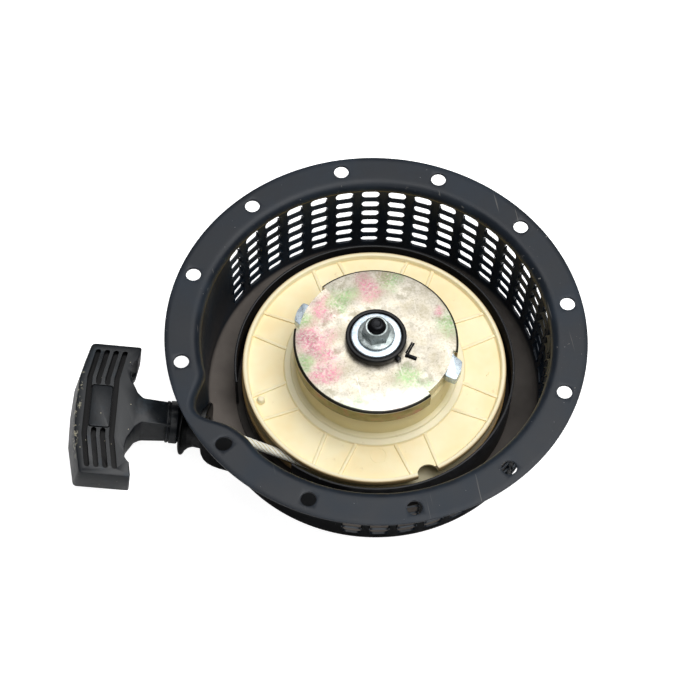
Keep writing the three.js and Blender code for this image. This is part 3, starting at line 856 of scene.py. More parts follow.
# ---------- studio ----------
@dataclass
class Studio:
    """Pale floor, soft lights and the camera."""

    lens: float = 108.0
    camera_place: tuple[float, float, float] = (-0.14552, -0.60118, 1.12836)
    right: tuple[float, float, float] = (0.98347, -0.18017, 0.01827)
    forward: tuple[float, float, float] = (0.10490, 0.48455, -0.86845)
    floor_size: float = 6.0
    floor_glow: float = 0.9

    def build(self) -> None:
        """Makes the floor, the lights and the camera."""
        self.floor()
        self.light("key softbox", (0.22, 0.76, 1.74), 1.1, 11)
        self.light("overhead softbox", (0.6, -0.2, 1.9), 1.5, 28)
        self.light("front fill", (-0.4, -1.4, 1.6), 1.0, 5)
        self.world()
        self.camera()
        bpy.context.scene.view_settings.view_transform = "Standard"

    def floor(self) -> None:
        """Pale paper floor under the part."""
        bm = bmesh.new()
        bmesh.ops.create_grid(bm, x_segments=1, y_segments=1, size=self.floor_size / 2)
        mesh = bpy.data.meshes.new("studio_floor")
        bm.to_mesh(mesh)
        bm.free()
        obj = bpy.data.objects.new("studio_floor", mesh)
        obj.location.z = -0.0003
        bpy.context.scene.collection.objects.link(obj)
        material = bpy.data.materials.new("pale paper")
        material.use_nodes = True
        shader = material.node_tree.nodes["Principled BSDF"]
        shader.inputs["Base Color"].default_value = linear("b4b4b4")
        shader.inputs["Roughness"].default_value = 0.9
        shader.inputs["Emission Color"].default_value = linear("ffffff")
        shader.inputs["Emission Strength"].default_value = self.floor_glow
        mesh.materials.append(material)
        alone = bpy.data.collections.new("lit by the paper's glow")
        alone.objects.link(obj)
        obj.light_linking.receiver_collection = alone

    def light(self, name: str, place: tuple[float, float, float], size: float, power: float) -> None:
        """Square softbox aimed at the middle of the part."""
        data = bpy.data.lights.new(name, "AREA")
        data.size = size
        data.energy = power
        obj = bpy.data.objects.new(name, data)
        obj.location = place
        obj.rotation_euler = (Vector((-0.02, 0, 0.03)) - Vector(place)).to_track_quat("-Z", "Y").to_euler()
        bpy.context.scene.collection.objects.link(obj)

    def world(self) -> None:
        """Even white surroundings."""
        world = bpy.data.worlds.new("white room")
        world.use_nodes = True
        background = world.node_tree.nodes["Background"]
        background.inputs["Color"].default_value = linear("fbfcff")
        background.inputs["Strength"].default_value = 0.22
        bpy.context.scene.world = world

    def camera(self) -> None:
        """Long-lens camera that looks down on the open side."""
        data = bpy.data.cameras.new("camera")
        data.lens = self.lens
        data.clip_end = 20
        obj = bpy.data.objects.new("camera", data)
        back = -Vector(self.forward)
        axes = Matrix((self.right, back.cross(Vector(self.right)), back)).transposed()
        obj.matrix_world = Matrix.Translation(self.camera_place) @ axes.to_4x4()
        bpy.context.scene.collection.objects.link(obj)
        bpy.context.scene.camera = obj


# ---------- housing ----------
@dataclass
class Housing:
    """Stamped bowl with its louvred vents, rope pocket and bolting flange, and the reel's guard ring."""

    depth: float = 67.5
    sheet: float = 1.5
    flange_radius: float = 123.8
    wall_top: float = 102.75
    wall_bottom: float = 100.7
    flange_bend: float = 5.2
    floor_bend: float = 3.0
    facets: int = 240
    bolts: int = 12
    bolt_circle: float = 115.0
    bolt_hole: float = 4.5
    first_column: int = -12
    last_column: int = 15
    column_pitch: float = 9.0
    vent_bottom: float = 8.4
    vent_top: float = 61.5
    louvre_tops: tuple[float, ...] = (53.9, 44.4, 34.9, 25.5, 16.3)
    pocket_angle: float = 195.8
    pocket_half: float = 12.0
    pocket_depth: float = 12.6
    ring_radius: float = 84.3
    ring_sheet: float = 1.5
    ring_top: float = 30.4
    ring_opening: tuple[float, float] = (179.0, 224.0)

    def build(self) -> None:
        """Makes the shell, its louvres and the guard ring."""
        self.shell()
        self.louvres()
        self.guard_ring()

    def skin(self) -> Mesh:
        """Inner skin of the bowl, with rows and columns that the openings are cut along."""
        step = (self.wall_top - self.wall_bottom) / (self.depth - self.sheet)
        rows = (self.vent_bottom, 14.0, 22.0, 30.0, 38.0, 46.0, 54.0, self.vent_top)
        wall = [(self.wall_bottom + step * (z - self.sheet), z) for z in rows]
        flange = [(self.bolt_circle + 2.8 * i, self.depth) for i in range(-2, 3)]
        profile = rounded([
            (0.0, self.sheet), (40.0, self.sheet), (75.0, self.sheet),
            (self.wall_bottom, self.sheet, self.floor_bend), *wall,
            (self.wall_top, self.depth, self.flange_bend), *flange, (self.flange_radius, self.depth),
        ], closed=False, steps=5)
        return turned(profile, self.facets, closed=False)

    def bulge(self, place: Vector) -> Vector:
        """A point of the skin carried outwards where the rope pocket swells the wall."""
        radius = math.hypot(place.x, place.y)
        if radius < 96:
            return place
        angle = math.degrees(math.atan2(place.y, place.x)) % 360
        swell = self.pocket_depth * hump(angle - self.pocket_angle, self.pocket_half)
        if place.z > self.vent_top:
            swell -= 1.8 * hump(angle - 212.5, 8.0)
        bend_edge = self.wall_top + self.flange_bend
        if radius > bend_edge:
            swell *= (self.flange_radius - radius) / (self.flange_radius - bend_edge)
        scale = (radius + swell) / radius
        return Vector((place.x * scale, place.y * scale, place.z))

    def in_window(self, face: bmesh.types.BMFace) -> bool:
        """Whether a face of the skin lies in a vent column."""
        centre = face.calc_center_median()
        angle = math.degrees(math.atan2(centre.y, centre.x))
        column = round(angle / self.column_pitch)
        across = abs(angle - column * self.column_pitch) < 3.0
        level = self.vent_bottom < centre.z < self.vent_top
        return across and level and self.first_column <= column <= self.last_column

    def cut_windows(self, bm: Mesh) -> None:
        """Opens the vent columns and rounds their corners."""
        faces = [face for face in bm.faces if self.in_window(face)]
        bmesh.ops.delete(bm, geom=faces, context="FACES")
        corners = [v for v in bm.verts if v.is_boundary and len(v.link_faces) == 3]
        bmesh.ops.bevel(
            bm, geom=corners, offset=2.4, offset_type="OFFSET", segments=4, profile=0.5,
            affect="VERTICES", clamp_overlap=False, material=-1,
        )

    def cut_bolt_holes(self, bm: Mesh) -> None:
        """Replaces a patch of the flange round each bolt hole by faces that end on a circle."""
        for i in range(self.bolts):
            centre = polar(self.bolt_circle, 360 * i / self.bolts, self.depth)
            patch = [
                face for face in bm.faces
                if (face.calc_center_median() - centre).length < 6.9 and abs(face.normal.z) > 0.9
            ]
            inside = set(patch)
            border = [e for face in patch for e in face.edges if not set(e.link_faces) <= inside]
            bmesh.ops.delete(bm, geom=patch, context="FACES")
            grown = bmesh.ops.extrude_edge_only(bm, edges=[e for e in set(border) if e.is_valid])["geom"]
            rim = [item for item in grown if isinstance(item, bmesh.types.BMVert)]
            rim.sort(key=lambda vert: math.atan2(vert.co.y - centre.y, vert.co.x - centre.x))
            angles = [math.degrees(math.atan2(vert.co.y - centre.y, vert.co.x - centre.x)) for vert in rim]
            first = sum(angle - 360 * k / len(rim) for k, angle in enumerate(angles)) / len(rim)
            for k, vert in enumerate(rim):
                vert.co = centre + polar(self.bolt_hole, first + 360 * k / len(rim))

    def cut_guide_hole(self, bm: Mesh) -> None:
        """Opens the pocket's wall where the rope guide passes."""
        centre, axis = RopeGuide().centre, polar(1, RopeGuide().heading)
        faces = []
        for face in bm.faces:
            offset = face.calc_center_median() - centre
            across = (offset - axis * offset.dot(axis)).length
            if across < 11.5 and abs(offset.dot(axis)) < 14:
                faces.append(face)
        bmesh.ops.delete(bm, geom=faces, context="FACES")

    def shell(self) -> None:
        """The pressed sheet: skin, openings and pocket, then its thickness and edge radius."""
        bm = self.skin()
        self.cut_windows(bm)
        self.cut_bolt_holes(bm)
        for vert in bm.verts:
            vert.co = self.bulge(vert.co)
        self.cut_guide_hole(bm)
        bmesh.ops.recalc_face_normals(bm, faces=bm.faces)
        floor = min(bm.faces, key=lambda face: face.calc_center_median().length)
        if floor.normal.z < 0:
            bmesh.ops.reverse_faces(bm, faces=bm.faces)
        place = Place(Body.HOUSING, Slot.BLACK_ENAMEL, ("housing_shell",))
        obj = piece(bm, "housing_shell_fine", ENAMEL, place, sharp=180)
        # The outer skin and the flange's underside take the darker enamel: painted shade.
        obj.data.materials.append(OUTSIDE_SHADED_PAINT.material())
        wall = obj.modifiers.new("sheet", "SOLIDIFY")
        wall.material_offset = 1
        wall.thickness = self.sheet * MM
        wall.offset = -1
        edge = obj.modifiers.new("edge", "BEVEL")
        edge.width = 0.3 * MM
        edge.segments = 2
        edge.limit_method = "ANGLE"
        edge.angle_limit = math.radians(60)

    def louvres(self) -> None:
        """Tilted strips that part each vent column into slots, flared where they join the webs."""
        half, waist, flare = 5.9, 1.35, 2.1
        end = [(half - 0.5, -waist, flare - 0.1), (half - 0.5, -waist - flare), (half, -waist - flare)]
        end += [(x, -y, *rest) for x, y, *rest in reversed(end)]
        outline = rounded([*end, *((-x, -y, *rest) for x, y, *rest in end)], closed=True, steps=3)
        lean = turn_by(-60, "Y") @ turn_by(90)
        strips = []
        for column in range(self.first_column, self.last_column + 1):
            for top in self.louvre_tops:
                radius = self.wall_bottom + (self.wall_top - self.wall_bottom) * top / self.depth
                seat = Matrix.Translation((radius + self.sheet / 2, 0, top - 1.3)) @ lean
                strips.append(placed(slab(outline, -0.5, 0.5), turn_by(column * self.column_pitch) @ seat))
        place = Place(Body.HOUSING, Slot.BLACK_ENAMEL)
        piece(joined(strips), "housing_louvres", LOUVRE_HIGHLIGHT_PAINT, place, sharp=35)

    def guard_ring(self) -> None:
        """Upright ring round the reel with its spot-welded foot; the wall is left out for the rope."""
        inner, foot = self.ring_radius - self.ring_sheet, self.sheet + 0.3
        start, end = self.ring_opening
        bm = bmesh.new()
        section = rounded([
            (inner, foot + 1.0), (self.ring_radius, foot + 1.0), (self.ring_radius, self.ring_top, 0.5),
            (inner, self.ring_top, 0.5),
        ], closed=True, steps=2)
        face = bm.faces.new([bm.verts.new((x, 0, z)) for x, z in section])
        placed(bm, turn_by(end))
        bmesh.ops.spin(
            bm, geom=[face], cent=(0, 0, 0), axis=(0, 0, 1), dvec=(0, 0, 0),
            angle=math.radians(360 - (end - start)), steps=200, use_merge=False, use_normal_flip=False,
            use_duplicate=False,
        )
        base = turned(rounded([
            (79.6, foot, 0.2), (self.ring_radius, foot, 0.2), (self.ring_radius, foot + 1.2),
            (79.6, foot + 1.2, 0.4),
        ], closed=True, steps=2), 180)
        place = Place(Body.HOUSING, Slot.BLACK_ENAMEL, ("reel_guard_ring",))
        piece(joined([settled(bm), base]), "guard_ring_fine", GUARD_PAINT, place)


@dataclass
class RopeGuide:
    """Trumpet-mouthed grommet snapped into the pocket's wall."""

    centre: Vector = Vector((-108.1, -19.6, 23.0))
    heading: float = 157.0
    neck: float = 14.0
    lip: float = 20.0
    throat: float = 4.0

    def build(self) -> None:
        """Makes the grommet from its section."""
        section = rounded([
            (self.throat + 2, -4.0, 0.8), (self.neck, -4.0, 1.0), (self.neck, 2.5, 1.5),
            (self.neck + 1.2, 5.2, 2.5), (self.lip - 2, 7.8, 1.5), (self.lip, 8.4, 0.5),
            (self.lip, 9.6, 0.5), (self.lip - 1.5, 9.6, 0.6), (self.lip - 4.5, 8.0, 3.0), (12.0, 4.0, 4.0),
            (self.throat, 0.6, 2.0), (self.throat, -2.5, 1.0),
        ], closed=True, steps=5)
        bm = placed(turned(section, 96), heading(self.heading, self.centre))
        place = Place(Body.HOUSING, Slot.BLACK_PLASTIC, ("rope_guide",))
        piece(bm, "rope_guide_fine", GLOSS_PLASTIC, place)


# ---------- reel ----------
@dataclass
class Reel:
    """Moulded reel: rope groove, ribbed web, rim and the hub that carries the ratchet."""

    bore: float = 10.3
    hub: float = 46.3
    hub_top: float = 50.2
    web_top: float = 26.9
    rim: float = 79.2
    rim_top: float = 29.9
    rib_pairs: int = 8
    first_pair: float = 12.5
    rib_spacing: float = 18.0
    rib_width: float = 2.3
    notch_angle: float = 283.0
    notch_radius: float = 6.6
    peg: tuple[float, float] = (72.0, 189.6)

    def build(self) -> None:
        """Makes the reel as one moulding."""
        notch = polar(self.rim - 0.4, self.notch_angle)
        cutter = placed(
            slab([polar(self.notch_radius, 15 * i)[:2] for i in range(24)], 24.0, 32.0),
            Matrix.Translation(notch),
        )
        body = carved(self.moulding(), cutter)
        place = Place(Body.REEL, Slot.IVORY_NYLON, ("reel",))
        piece(joined([body, *self.ribs(), *self.details()]), "reel_fine", NYLON, place, sharp=38)

    def moulding(self) -> Mesh:
        """The turned body."""
        return turned(rounded([
            (self.bore, 4.8, 0.4), (13.8, 4.8, 0.4), (13.8, 47.0, 1.0), (43.3, 47.0, 1.0),
            (43.3, 17.2, 0.5), (self.hub, 17.2, 0.5), (self.hub, 26.0, 0.8), (57.0, 26.0, 0.8),
            (57.0, 13.5, 0.5), (80.0, 13.5, 0.5), (80.0, 17.4, 0.5), (59.8, 18.6, 1.0), (59.8, 25.2, 1.0),
            (self.rim, 25.8, 0.5), (self.rim, self.rim_top, 0.7), (76.6, self.rim_top, 0.7),
            (75.8, self.web_top, 0.8), (54.6, self.web_top, 0.7), (54.0, 28.6, 0.5), (50.6, 28.8, 0.5),
            (50.0, 30.0, 0.6), (47.2, 30.4, 0.7), (self.hub, 45.9, 0.4), (44.6, 46.2, 0.3),
            (44.4, self.hub_top, 0.5), (self.bore, self.hub_top, 0.4),
        ], closed=True, steps=3), 192)

    def ribs(self) -> list[Mesh]:
        """Pairs of nearly parallel stiffening ribs on the web."""
        made = []
        width = self.rib_width / 2
        for pair in range(self.rib_pairs):
            for side in (1, -1):
                near, far = side * (self.rib_spacing / 2 + 0.5), side * (self.rib_spacing / 2 - 0.6)
                outline = [
                    (53.2, near - width), (76.2, far - width), (76.2, far + width), (53.2, near + width),
                ]
                rib = slab(outline, self.web_top - 0.8, self.web_top + 1.0, 0.75)
                made.append(placed(rib, turn_by(self.first_pair + 360 * pair / self.rib_pairs)))
        return made

    def details(self) -> list[Mesh]:
        """Small peg, ejector mark and rope-end boss on the web."""
        radius, angle = self.peg
        cone = [(0.0, 26.6), (2.6, 26.6), (2.3, 29.2, 0.5), (1.7, 30.4, 0.7), (0.0, 30.6)]
        peg = turned(rounded(cone, closed=False), 32, closed=False)
        rim = [(4.4, 26.7), (5.0, 26.7), (5.0, 27.05, 0.1), (4.4, 27.05, 0.1)]
        mark = turned(rounded(rim, closed=True), 48)
        chip = slab(tile((0, 0), (3.2, 0.6), 0.2), 26.6, 27.4, 0.1)
        return [
            placed(peg, Matrix.Translation(polar(radius, angle))),
            placed(mark, Matrix.Translation(polar(60.2, 261.6))),
            placed(chip, Matrix.Translation(polar(68.4, 345.6)) @ turn_by(40)),
        ]


@dataclass
class Rope:
    """Starter rope: wound on the reel, then out through the guide to the knot in the handle."""

    radius: float = 2.75
    height: float = 23.0
    strands: int = 8
    lay_length: float = 26.0
    ridge: float = 0.16
    outer_turn: float = 74.3
    settled_turn: float = 68.6
    slip_angle: float = 38.0
    inner_turn: float = 62.6
    turns: float = 2.5
    tangent_angle: float = 237.7
    pull: float = 900.0

    def build(self) -> None:
        """Makes the wound rope and the run."""
        self.coil()
        self.run()

    def sweep(self, stations: Sequence[Vector], along: Sequence[float], sides: int) -> Mesh:
        """Round laid cord through a row of centres.

        Args:
            stations: Centres of the sections in millimetres.
            along: Distance along the relaxed cord at each section.
            sides: Points round each section.

        Returns:
            A closed mesh with the cord's own map, "lay": turns round it and millimetres along it.
        """
        bm = bmesh.new()
        lay = bm.loops.layers.uv.new("lay")
        side = Vector((0, 0, 1))
        rings = []
        for i, centre in enumerate(stations):
            ahead = stations[min(i + 1, len(stations) - 1)] - stations[max(i - 1, 0)]
            ahead.normalize()
            side = (side - ahead * side.dot(ahead)).normalized()
            across = ahead.cross(side)
            ring = []
            for k in range(sides):
                angle = FULL_TURN * k / sides
                lobe = abs(math.cos(self.strands / 2 * (angle - FULL_TURN * along[i] / self.lay_length)))
                reach = self.radius * (1 - self.ridge + self.ridge * lobe)
                spoke = side * math.cos(angle) + across * math.sin(angle)
                ring.append(bm.verts.new(centre + spoke * reach))
            rings.append(ring)
        for i in range(len(rings) - 1):
            for k in range(sides):
                after = (k + 1) % sides
                face = bm.faces.new((rings[i][k], rings[i][after], rings[i + 1][after], rings[i + 1][k]))
                corners = ((k, i), (k + 1, i), (k + 1, i + 1), (k, i + 1))
                for loop, (turn, station) in zip(face.loops, corners):
                    loop[lay].uv = (turn / sides, along[station])
        bm.faces.new(rings[0])
        bm.faces.new(rings[-1])
        bmesh.ops.recalc_face_normals(bm, faces=bm.faces)
        return bm

    def coil(self) -> None:
        """Turns that climb on each other in the reel's groove, traced back from where the rope leaves."""
        count = round(150 * self.turns)
        stations, along = [], [0.0]
        for i in range(count + 1):
            share = i / count
            angle = self.tangent_angle + 360 * self.turns * share
            slip = min(1.0, 360 * self.turns * share / self.slip_angle)
            radius = self.settled_turn + (self.inner_turn - self.settled_turn) * share
            radius += (self.outer_turn - self.settled_turn) * (1 - slip * slip * (3 - 2 * slip))
            height = self.height + 1.2 * math.cos(math.pi * self.turns * share) - 1.2
            stations.append(polar(radius, angle, height))
            if i:
                along.append(along[-1] + (stations[i] - stations[i - 1]).length)
        place = Place(Body.REEL, Slot.ROPE, ("rope_coil",))
        piece(self.sweep(stations, along, 20), "rope_coil_fine", CORD, place, sharp=180)

    def run(self) -> None:
        """Rope from the reel to the knot; the stretch in the guide's mouth holds what is pulled out."""
        guide, seat = RopeGuide().centre, Handle().seat
        outwards = polar(1, self.tangent_angle - 90)
        leave = polar(self.outer_turn, self.tangent_angle, self.height)
        pull = Handle().frame().to_3x3() @ Vector((1, 0, 0))
        corners = [
            leave, leave + outwards * 34, leave + outwards * 66, guide,
            seat + pull * 3, seat + pull * 10, seat + pull * 46,
        ]
        coarse = spline(corners, 24)
        hidden = [
            i for i, point in enumerate(coarse)
            if (point - guide).dot(pull) > 1 and (point - seat).dot(pull) < 9
        ]
        first, last = hidden[0], hidden[-1]
        fine = [
            coarse[first].lerp(coarse[last], i / 240) if 0 < i < 240 else coarse[first if i == 0 else last]
            for i in range(241)
        ]
        stations = coarse[:first] + fine + coarse[last + 1:]
        start, end = coarse[first], coarse[last]
        along = [0.0]
        for before, after in zip(stations, stations[1:]):
            along.append(along[-1] + (after - before).length)
        spread = []
        for point, distance in zip(stations, along):
            share = max(0.0, min(1.0, (point - start).dot(end - start) / (end - start).length_squared))
            spread.append(distance + self.pull * share * share * (3 - 2 * share))
        bm = self.sweep(stations, spread, 24)
        place = Place(Body.HOUSING, Slot.ROPE, ("rope_run", "rope_tail"))
        obj = piece(bm, "rope_run_fine", CORD, place, sharp=180)
        obj.parent = None
        del obj["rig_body"]
        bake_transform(obj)


# ---------- ratchet ----------
@dataclass
class Ratchet:
    """Guide plate, its two pawls, the black retainer and the friction spring's leg."""

    plate: float = 48.8
    plate_top: float = 58.7
    plate_sheet: float = 1.5
    skirt_bottom: float = 46.4
    bore: float = 8.5
    window: tuple[float, float] = (300.5, 341.0)
    window_floor: float = 45.9
    retainer: float = 18.0
    tab_angle: float = 303.0
    pivot: tuple[float, float] = (39.0, 6.0)
    pawl_base: float = 50.6
    pawl_top: float = 56.6
    pawl_tuck: float = -5.4
    pin: float = 2.8

    def build(self) -> None:
        """Makes every piece of the ratchet."""
        self.guide_plate()
        self.retainer_ring()
        self.spring_leg()
        self.pawl("pawl_a", Body.PAWL_A, 0.0, 0.0)
        self.pawl("pawl_b", Body.PAWL_B, self.pawl_tuck, 180.0)

    def guide_plate(self) -> None:
        """Drawn plate with a skirt, two windows and the slot for the spring's leg."""
        under = self.plate_top - self.plate_sheet
        wall = self.plate - self.plate_sheet
        bm = turned(rounded([
            (self.bore, under), (wall - 0.4, under, 1.0), (wall - 0.4, self.skirt_bottom, 0.3),
            (self.plate - 0.4, self.skirt_bottom, 0.3), (self.plate, self.plate_top, 1.5),
            (self.bore, self.plate_top, 0.3),
        ], closed=True, steps=4), 240)
        for half_turn in (0, 180):
            start, end = (angle + half_turn for angle in self.window)
            steps = [start + (end - start) * i / 24 for i in range(25)]
            outline = [polar(54, angle)[:2] for angle in steps]
            outline += [polar(self.window_floor, angle)[:2] for angle in reversed(steps)]
            bm = carved(bm, slab(outline, self.skirt_bottom - 1, self.plate_top + 1))
        slot = slab(tile((0, 0), (7.2, 2.6), 0.8), 50, 62)
        bm = carved(bm, placed(slot, Matrix.Translation((18, -15, 0)) @ turn_by(-31)))
        place = Place(Body.GUIDE, Slot.YELLOW_ZINC, ("ratchet_guide_plate",))
        piece(bm, "guide_plate_fine", YELLOW_ZINC, place, sharp=30)

    def retainer_ring(self) -> None:
        """Black dished ring with its locating tab."""
        bottom = self.plate_top + 0.3
        cup = turned(rounded([
            (8.4, bottom), (17.6, bottom, 0.3), (self.retainer, bottom + 0.7, 0.3),
            (self.retainer, 64.0, 0.8), (15.5, 64.0, 0.6), (15.5, bottom + 1.6), (8.4, bottom + 1.6),
        ], closed=True, steps=4), 128)
        ear = rounded([(16.8, -1.4), (20.2, -1.4, 0.5), (20.2, 1.4, 0.5), (16.8, 1.4)], closed=True)
        tab = placed(slab(ear, bottom, bottom + 2.2, 0.3), turn_by(self.tab_angle))
        place = Place(Body.GUIDE, Slot.BLACK_PLASTIC, ("retainer_cup",))
        piece(joined([cup, tab]), "retainer_cup_fine", GLOSS_PLASTIC, place)

    def spring_leg(self) -> None:
        """End of the friction spring's wire, bent up through the slot and laid on the plate."""
        top = self.plate_top + 0.4
        bar = [Vector((21.0, -17.0, top - 0.2)), Vector((18.2, -15.2, top)), Vector((15.2, -13.3, top))]
        runs = [(1.15, bar)]
        for shift in (-0.62, 0.62):
            start = Vector((16.2 + shift * 0.8, -12.4 - shift * 0.6, top))
            runs.append((0.5, [start, start + Vector((2.4, 3.1, 0)), start + Vector((4.8, 6.2, 0.1))]))
        strands = []
        for radius, points in runs:
            path = spline(points, 5)
            strands.append(Rope(radius=radius, ridge=0.0).sweep(path, [0.0] * len(path), 12))
        wire = joined(strands)
        piece(wire, "friction_spring_leg", BLACK_OXIDE, Place(Body.GUIDE, Slot.OILED_STEEL))

    def pawl(self, name: str, body: Body, tuck: float, half_turn: float) -> None:
        """Blanked pawl with tumbled edges: round boss, arm and square nose."""
        x, y = self.pivot
        boss = [Vector((x, y)) + Vector(polar(5.5, angle)[:2]) for angle in range(-10, 191, 10)]
        nose = rounded([
            (x - 5.4, y - 1.0), (35.8, -29.8, 1.6), (41.3, -33.5, 1.6), (45.6, -27.8, 6.0),
            (47.5, -22.0, 1.8), (43.6, -16.9, 1.6), (x + 5.4, y - 1.0),
        ], closed=False, steps=4)
        blank = slab([*nose, *boss], self.pawl_base, self.pawl_top, 0.55)
        radius, at_pivot = self.pin + 0.3, Matrix.Translation((x, y, 0))
        hole = placed(turned([(0, 50), (radius, 50), (radius, 58), (0, 58)], 32, closed=False), at_pivot)
        seat = turn_by(half_turn) @ at_pivot @ turn_by(tuck) @ at_pivot.inverted()
        place = Place(body, Slot.BRIGHT_ZINC, (name,))
        piece(placed(carved(blank, hole), seat), name + "_fine", BRIGHT_ZINC, place, sharp=50)


@dataclass
class ShaftStack:
    """Centre shaft with its threaded stud, the clamped washer and the flange nut."""

    shaft: float = 8.0
    shoulder: float = 61.3
    stud: float = 5.0
    stud_top: float = 78.0
    thread_pitch: float = 1.5
    washer: float = 14.9
    nut_flats: float = 15.0
    nut_flange: float = 10.9
    nut_bottom: float = 64.4
    nut_top: float = 74.0

    def build(self) -> None:
        """Makes the shaft, the washer and the nut."""
        self.post()
        self.large_washer()
        self.nut()

    def post(self) -> None:
        """Shaft with a welded foot and a threaded, domed stud."""
        threads, height = [], self.shoulder + 2.0
        while height < self.stud_top - 2.2:
            threads += [(self.stud - 0.75, height), (self.stud, height + self.thread_pitch / 2)]
            height += self.thread_pitch
        profile = rounded([
            (0.0, 1.8), (12.0, 1.8, 0.4), (12.0, 4.5, 0.6), (self.shaft, 4.5, 0.8),
            (self.shaft, self.shoulder, 0.4), (self.stud - 0.6, self.shoulder), *threads,
            (self.stud - 0.75, height), (self.stud - 0.9, self.stud_top - 0.6, 0.7),
            (2.4, self.stud_top, 0.6), (2.2, self.stud_top - 0.5, 0.2), (0.0, self.stud_top - 0.5),
        ], closed=False, steps=3)
        place = Place(Body.HOUSING, Slot.OILED_STEEL, ("center_shaft",))
        piece(turned(profile, 72, closed=False), "center_shaft_fine", BLACK_OXIDE, place)

    def large_washer(self) -> None:
        """Punched washer: rolled edge above, burr below."""
        profile = rounded([
            (self.stud + 0.3, 61.6, 0.2), (self.washer, 61.6, 0.3), (self.washer, 64.1, 0.7),
            (self.stud + 0.3, 64.1, 0.3),
        ], closed=True)
        place = Place(Body.HOUSING, Slot.BRIGHT_ZINC, ("large_washer",))
        piece(turned(profile, 128), "large_washer_fine", BRIGHT_ZINC, place)

    def nut(self) -> None:
        """Forged hexagon with chamfered crown on a sloping flange."""
        corner = self.nut_flats / math.sqrt(3)
        outline = [polar(corner, 60 * i)[:2] for i in range(6)]
        hexagon = slab(outline, self.nut_bottom + 0.5, self.nut_top)
        crown = turned(rounded([
            (0.0, 60.0), (corner + 0.3, 60.0), (corner + 0.3, self.nut_top - 3.0), (6.4, self.nut_top),
            (0.0, self.nut_top),
        ], closed=False), 96, closed=False)
        flange = turned(rounded([
            (0.0, self.nut_bottom), (self.nut_flange, self.nut_bottom, 0.4),
            (self.nut_flange, self.nut_bottom + 1.3, 0.5),
            (7.6, self.nut_bottom + 1.9), (0.0, self.nut_bottom + 1.9),
        ], closed=False), 96, closed=False)
        body = carved(carved(hexagon, crown, "INTERSECT"), flange, "UNION")
        bore = turned(rounded([
            (0.0, 60.0), (self.stud + 0.25, 60.0), (self.stud + 0.25, self.nut_top - 0.4),
            (self.stud + 0.7, self.nut_top + 0.1), (0.0, self.nut_top + 0.1),
        ], closed=False), 64, closed=False)
        place = Place(Body.HOUSING, Slot.BRIGHT_ZINC, ("flange_nut",))
        piece(carved(body, bore), "flange_nut_fine", NUT_ZINC, place, sharp=25)


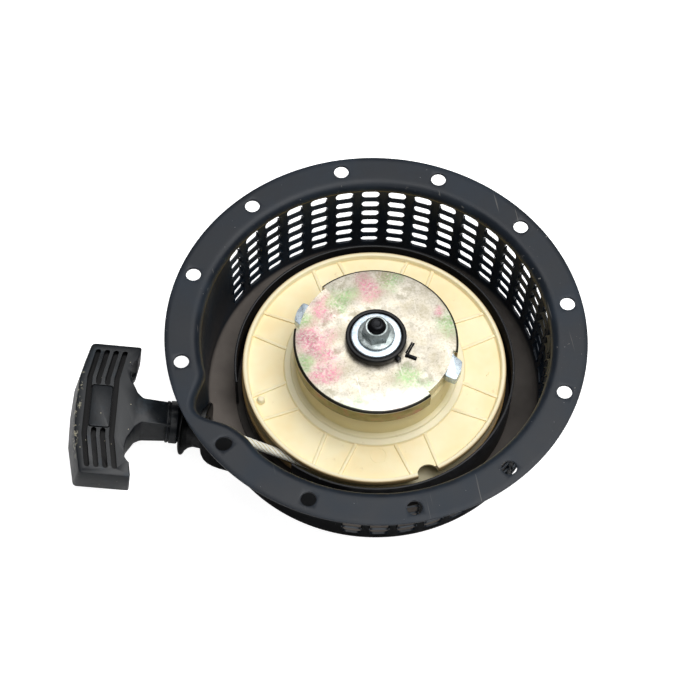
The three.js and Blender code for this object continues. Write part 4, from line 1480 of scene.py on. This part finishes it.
# ---------- handle ----------
@dataclass
class Handle:
    """Moulded T handle. Local +X is the pull, +Y runs along the bar and +Z is up."""

    seat: Vector = Vector((-115.8, -17.5, 23.0))
    heading: float = 167.8
    pitch: float = 6.5
    half_length: float = 43.2
    inner_side: float = 33.8
    outer_side: float = 66.5
    top: float = 12.5
    bottom: float = -9.0
    kink: float = 19.0
    channel_pitch: float = 5.3
    channel_width: float = 3.2
    channel_depth: float = 2.6
    panel: tuple[float, float] = (12.0, 27.0)
    panel_centre: float = 52.0
    panel_gap: float = 0.55

    def frame(self) -> Matrix:
        """Matrix from the handle's own axes to the part's, in millimetres."""
        return Matrix.Translation(self.seat) @ turn_by(self.heading) @ turn_by(-self.pitch, "Y")

    def build(self) -> None:
        """Makes the grip and the panel over its knot chamber."""
        self.grip()
        self.cover()

    def plan(self) -> list[Vector]:
        """Outline of the grip seen from above, before the arms are swept."""
        half = [
            (9.5, 7.9, 0.8), (27.5, 8.0, 3.0), (31.0, 11.2, 3.0), (35.6, 20.0, 3.0), (37.0, 24.5, 2.5),
            (self.inner_side + 1.4, 30.0, 3.0), (self.inner_side + 1.4, self.half_length, 1.6),
            (self.outer_side - 1.6, self.half_length, 2.2),
        ]
        mirrored = [(x, -y, *rest) for x, y, *rest in reversed(half)]
        return rounded([*half, (self.outer_side, 0.0), *mirrored], closed=True, steps=4)

    def channels(self) -> list[Mesh]:
        """Round-ended grooves along the bar; the inner two stop at the panel."""
        width, reach = self.channel_width / 2, self.half_length - 4.2
        made = []
        for i in range(4):
            x = self.panel_centre + (i - 1.5) * self.channel_pitch
            stop = self.panel[1] / 2 + 0.6
            spans = [(-reach, -stop), (stop, reach)] if i in (1, 2) else [(-reach, reach)]
            for low, high in spans:
                outline = tile((x, (low + high) / 2), (2 * width, high - low), 0.96 * width, steps=6)
                made.append(slab(outline, self.top - self.channel_depth, self.top + 3))
        return made

    def shaped(self, bm: Mesh) -> Mesh:
        """The straight blank with its arms swept back and lowered and its stem tapered."""
        for side in (1, -1):
            for distance in (self.kink, 30.0):
                bmesh.ops.bisect_plane(
                    bm, geom=[*bm.verts, *bm.edges, *bm.faces], dist=1e-4,
                    plane_co=(0, side * distance, 0), plane_no=(0, 1, 0),
                )
        for vert in bm.verts:
            x, y, z = vert.co
            arm = max(0.0, abs(y) - self.kink) / (self.half_length - self.kink)
            part = (z - self.bottom) / (self.top - self.bottom)
            draft = 3.2 * max(0.0, min(1.0, (x - self.panel_centre) / 8)) * (1 - part)
            vert.co.x = x - 4.2 * arm + draft
            if z > self.bottom + 2:
                vert.co.z = z - 2.5 * arm * part
            if x < self.inner_side and abs(y) < self.kink:
                share = max(0.0, min(1.0, (x - 9.5) / 18.0))
                goal_top, goal_bottom = 10.1 + 2.4 * share, -10.1 - 2.6 * share
                fade = max(0.0, min(1.0, (self.inner_side - x) / 6.0))
                vert.co.z += fade * (goal_bottom + (goal_top - goal_bottom) * part - z)
        return bm

    def grip(self) -> None:
        """The T: bar with channels, finger scallops, knot chamber, stem and round collar."""
        bm = slab(self.plan(), self.bottom, self.top, 1.3)
        room = tuple(side + 2 * self.panel_gap for side in self.panel)
        recess = slab(tile((self.panel_centre, 0), room, 1.9), self.top - 1.8, self.top + 3)
        for tool in [recess, *self.channels(), *self.scallops()]:
            bm = carved(bm, tool)
        bm = softened(bm, 0.22, degrees=50, segments=2)
        # Faces in the channels take the darker plastic: painted shade in the grooves.
        for face in bm.faces:
            x, y, z = face.calc_center_median()
            in_painted_shade = self.top - self.channel_depth - 0.1 < z < self.top - 0.35
            if in_painted_shade and abs(x - self.panel_centre) < 11.5 and abs(y) < self.half_length - 3:
                face.material_index = 1
        bm = self.shaped(bm)
        collar = turned(rounded([
            (3.4, 3.4, 0.4), (8.5, 3.4, 1.5), (12.6, 6.2, 1.0), (12.6, 10.6, 0.5), (11.9, 10.9),
            (11.9, 11.3), (12.4, 11.6, 0.4), (12.4, 13.0, 0.5), (3.4, 13.0),
        ], closed=True), 96)
        whole = placed(joined([bm, placed(collar, turn_by(90, "Y"))]), self.frame())
        place = Place(Body.HANDLE, Slot.BLACK_PLASTIC, ("handle_grip",))
        obj = piece(whole, "handle_grip_fine", HANDLE_PLASTIC, place, sharp=35)
        obj.data.materials.append(GROOVE_SHADE_PLASTIC.material())

    def scallops(self) -> list[Mesh]:
        """Finger recesses bitten out of the upper half of each arm's inner side."""
        made = []
        for side in (1, -1):
            tool = turned([(0, -4), (6.8, -4), (7.6, 20), (0, 20)], 48, closed=False)
            made.append(placed(tool, Matrix.Translation((30.6, side * 28.5, 0))))
        return made

    def cover(self) -> None:
        """Snap-in panel, slightly proud of its recess."""
        outline = tile((self.panel_centre, 0), self.panel, 1.4)
        bm = placed(slab(outline, self.top - 1.6, self.top + 0.35, 0.4), self.frame())
        place = Place(Body.HANDLE, Slot.BLACK_PLASTIC, ("handle_cap",))
        piece(bm, "handle_cap_fine", HANDLE_PLASTIC, place)


@dataclass(frozen=True)
class InnerWorks:
    """Solids that stay as they are, deep inside, and only need their finish."""

    def build(self) -> None:
        """Dresses every solid that no finer piece stands for."""
        for node in ("reel_knot", "handle_knot"):
            dress_node(node, KNOT)
        for node in ("spring_case", "thrust_washer", "knot_washer"):
            dress_node(node, BRIGHT_ZINC)
        for node in ("recoil_spring", "spring_anchor", "friction_spring", "pawl_pin_a", "pawl_pin_b"):
            dress_node(node, STEEL)
        dress_node("reel_bush", BRONZE)


def main() -> None:
    """Builds the studio and every sub-assembly, logging each one as it is done."""
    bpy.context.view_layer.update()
    Studio().build()
    assemblies = (Housing(), RopeGuide(), Reel(), Rope(), Ratchet(), ShaftStack(), Handle(), InnerWorks())
    for assembly in assemblies:
        assembly.build()
        LOG.info("%s done", type(assembly).__name__)


if __name__ == "__main__":
    logging.basicConfig(level=logging.INFO)
    main()
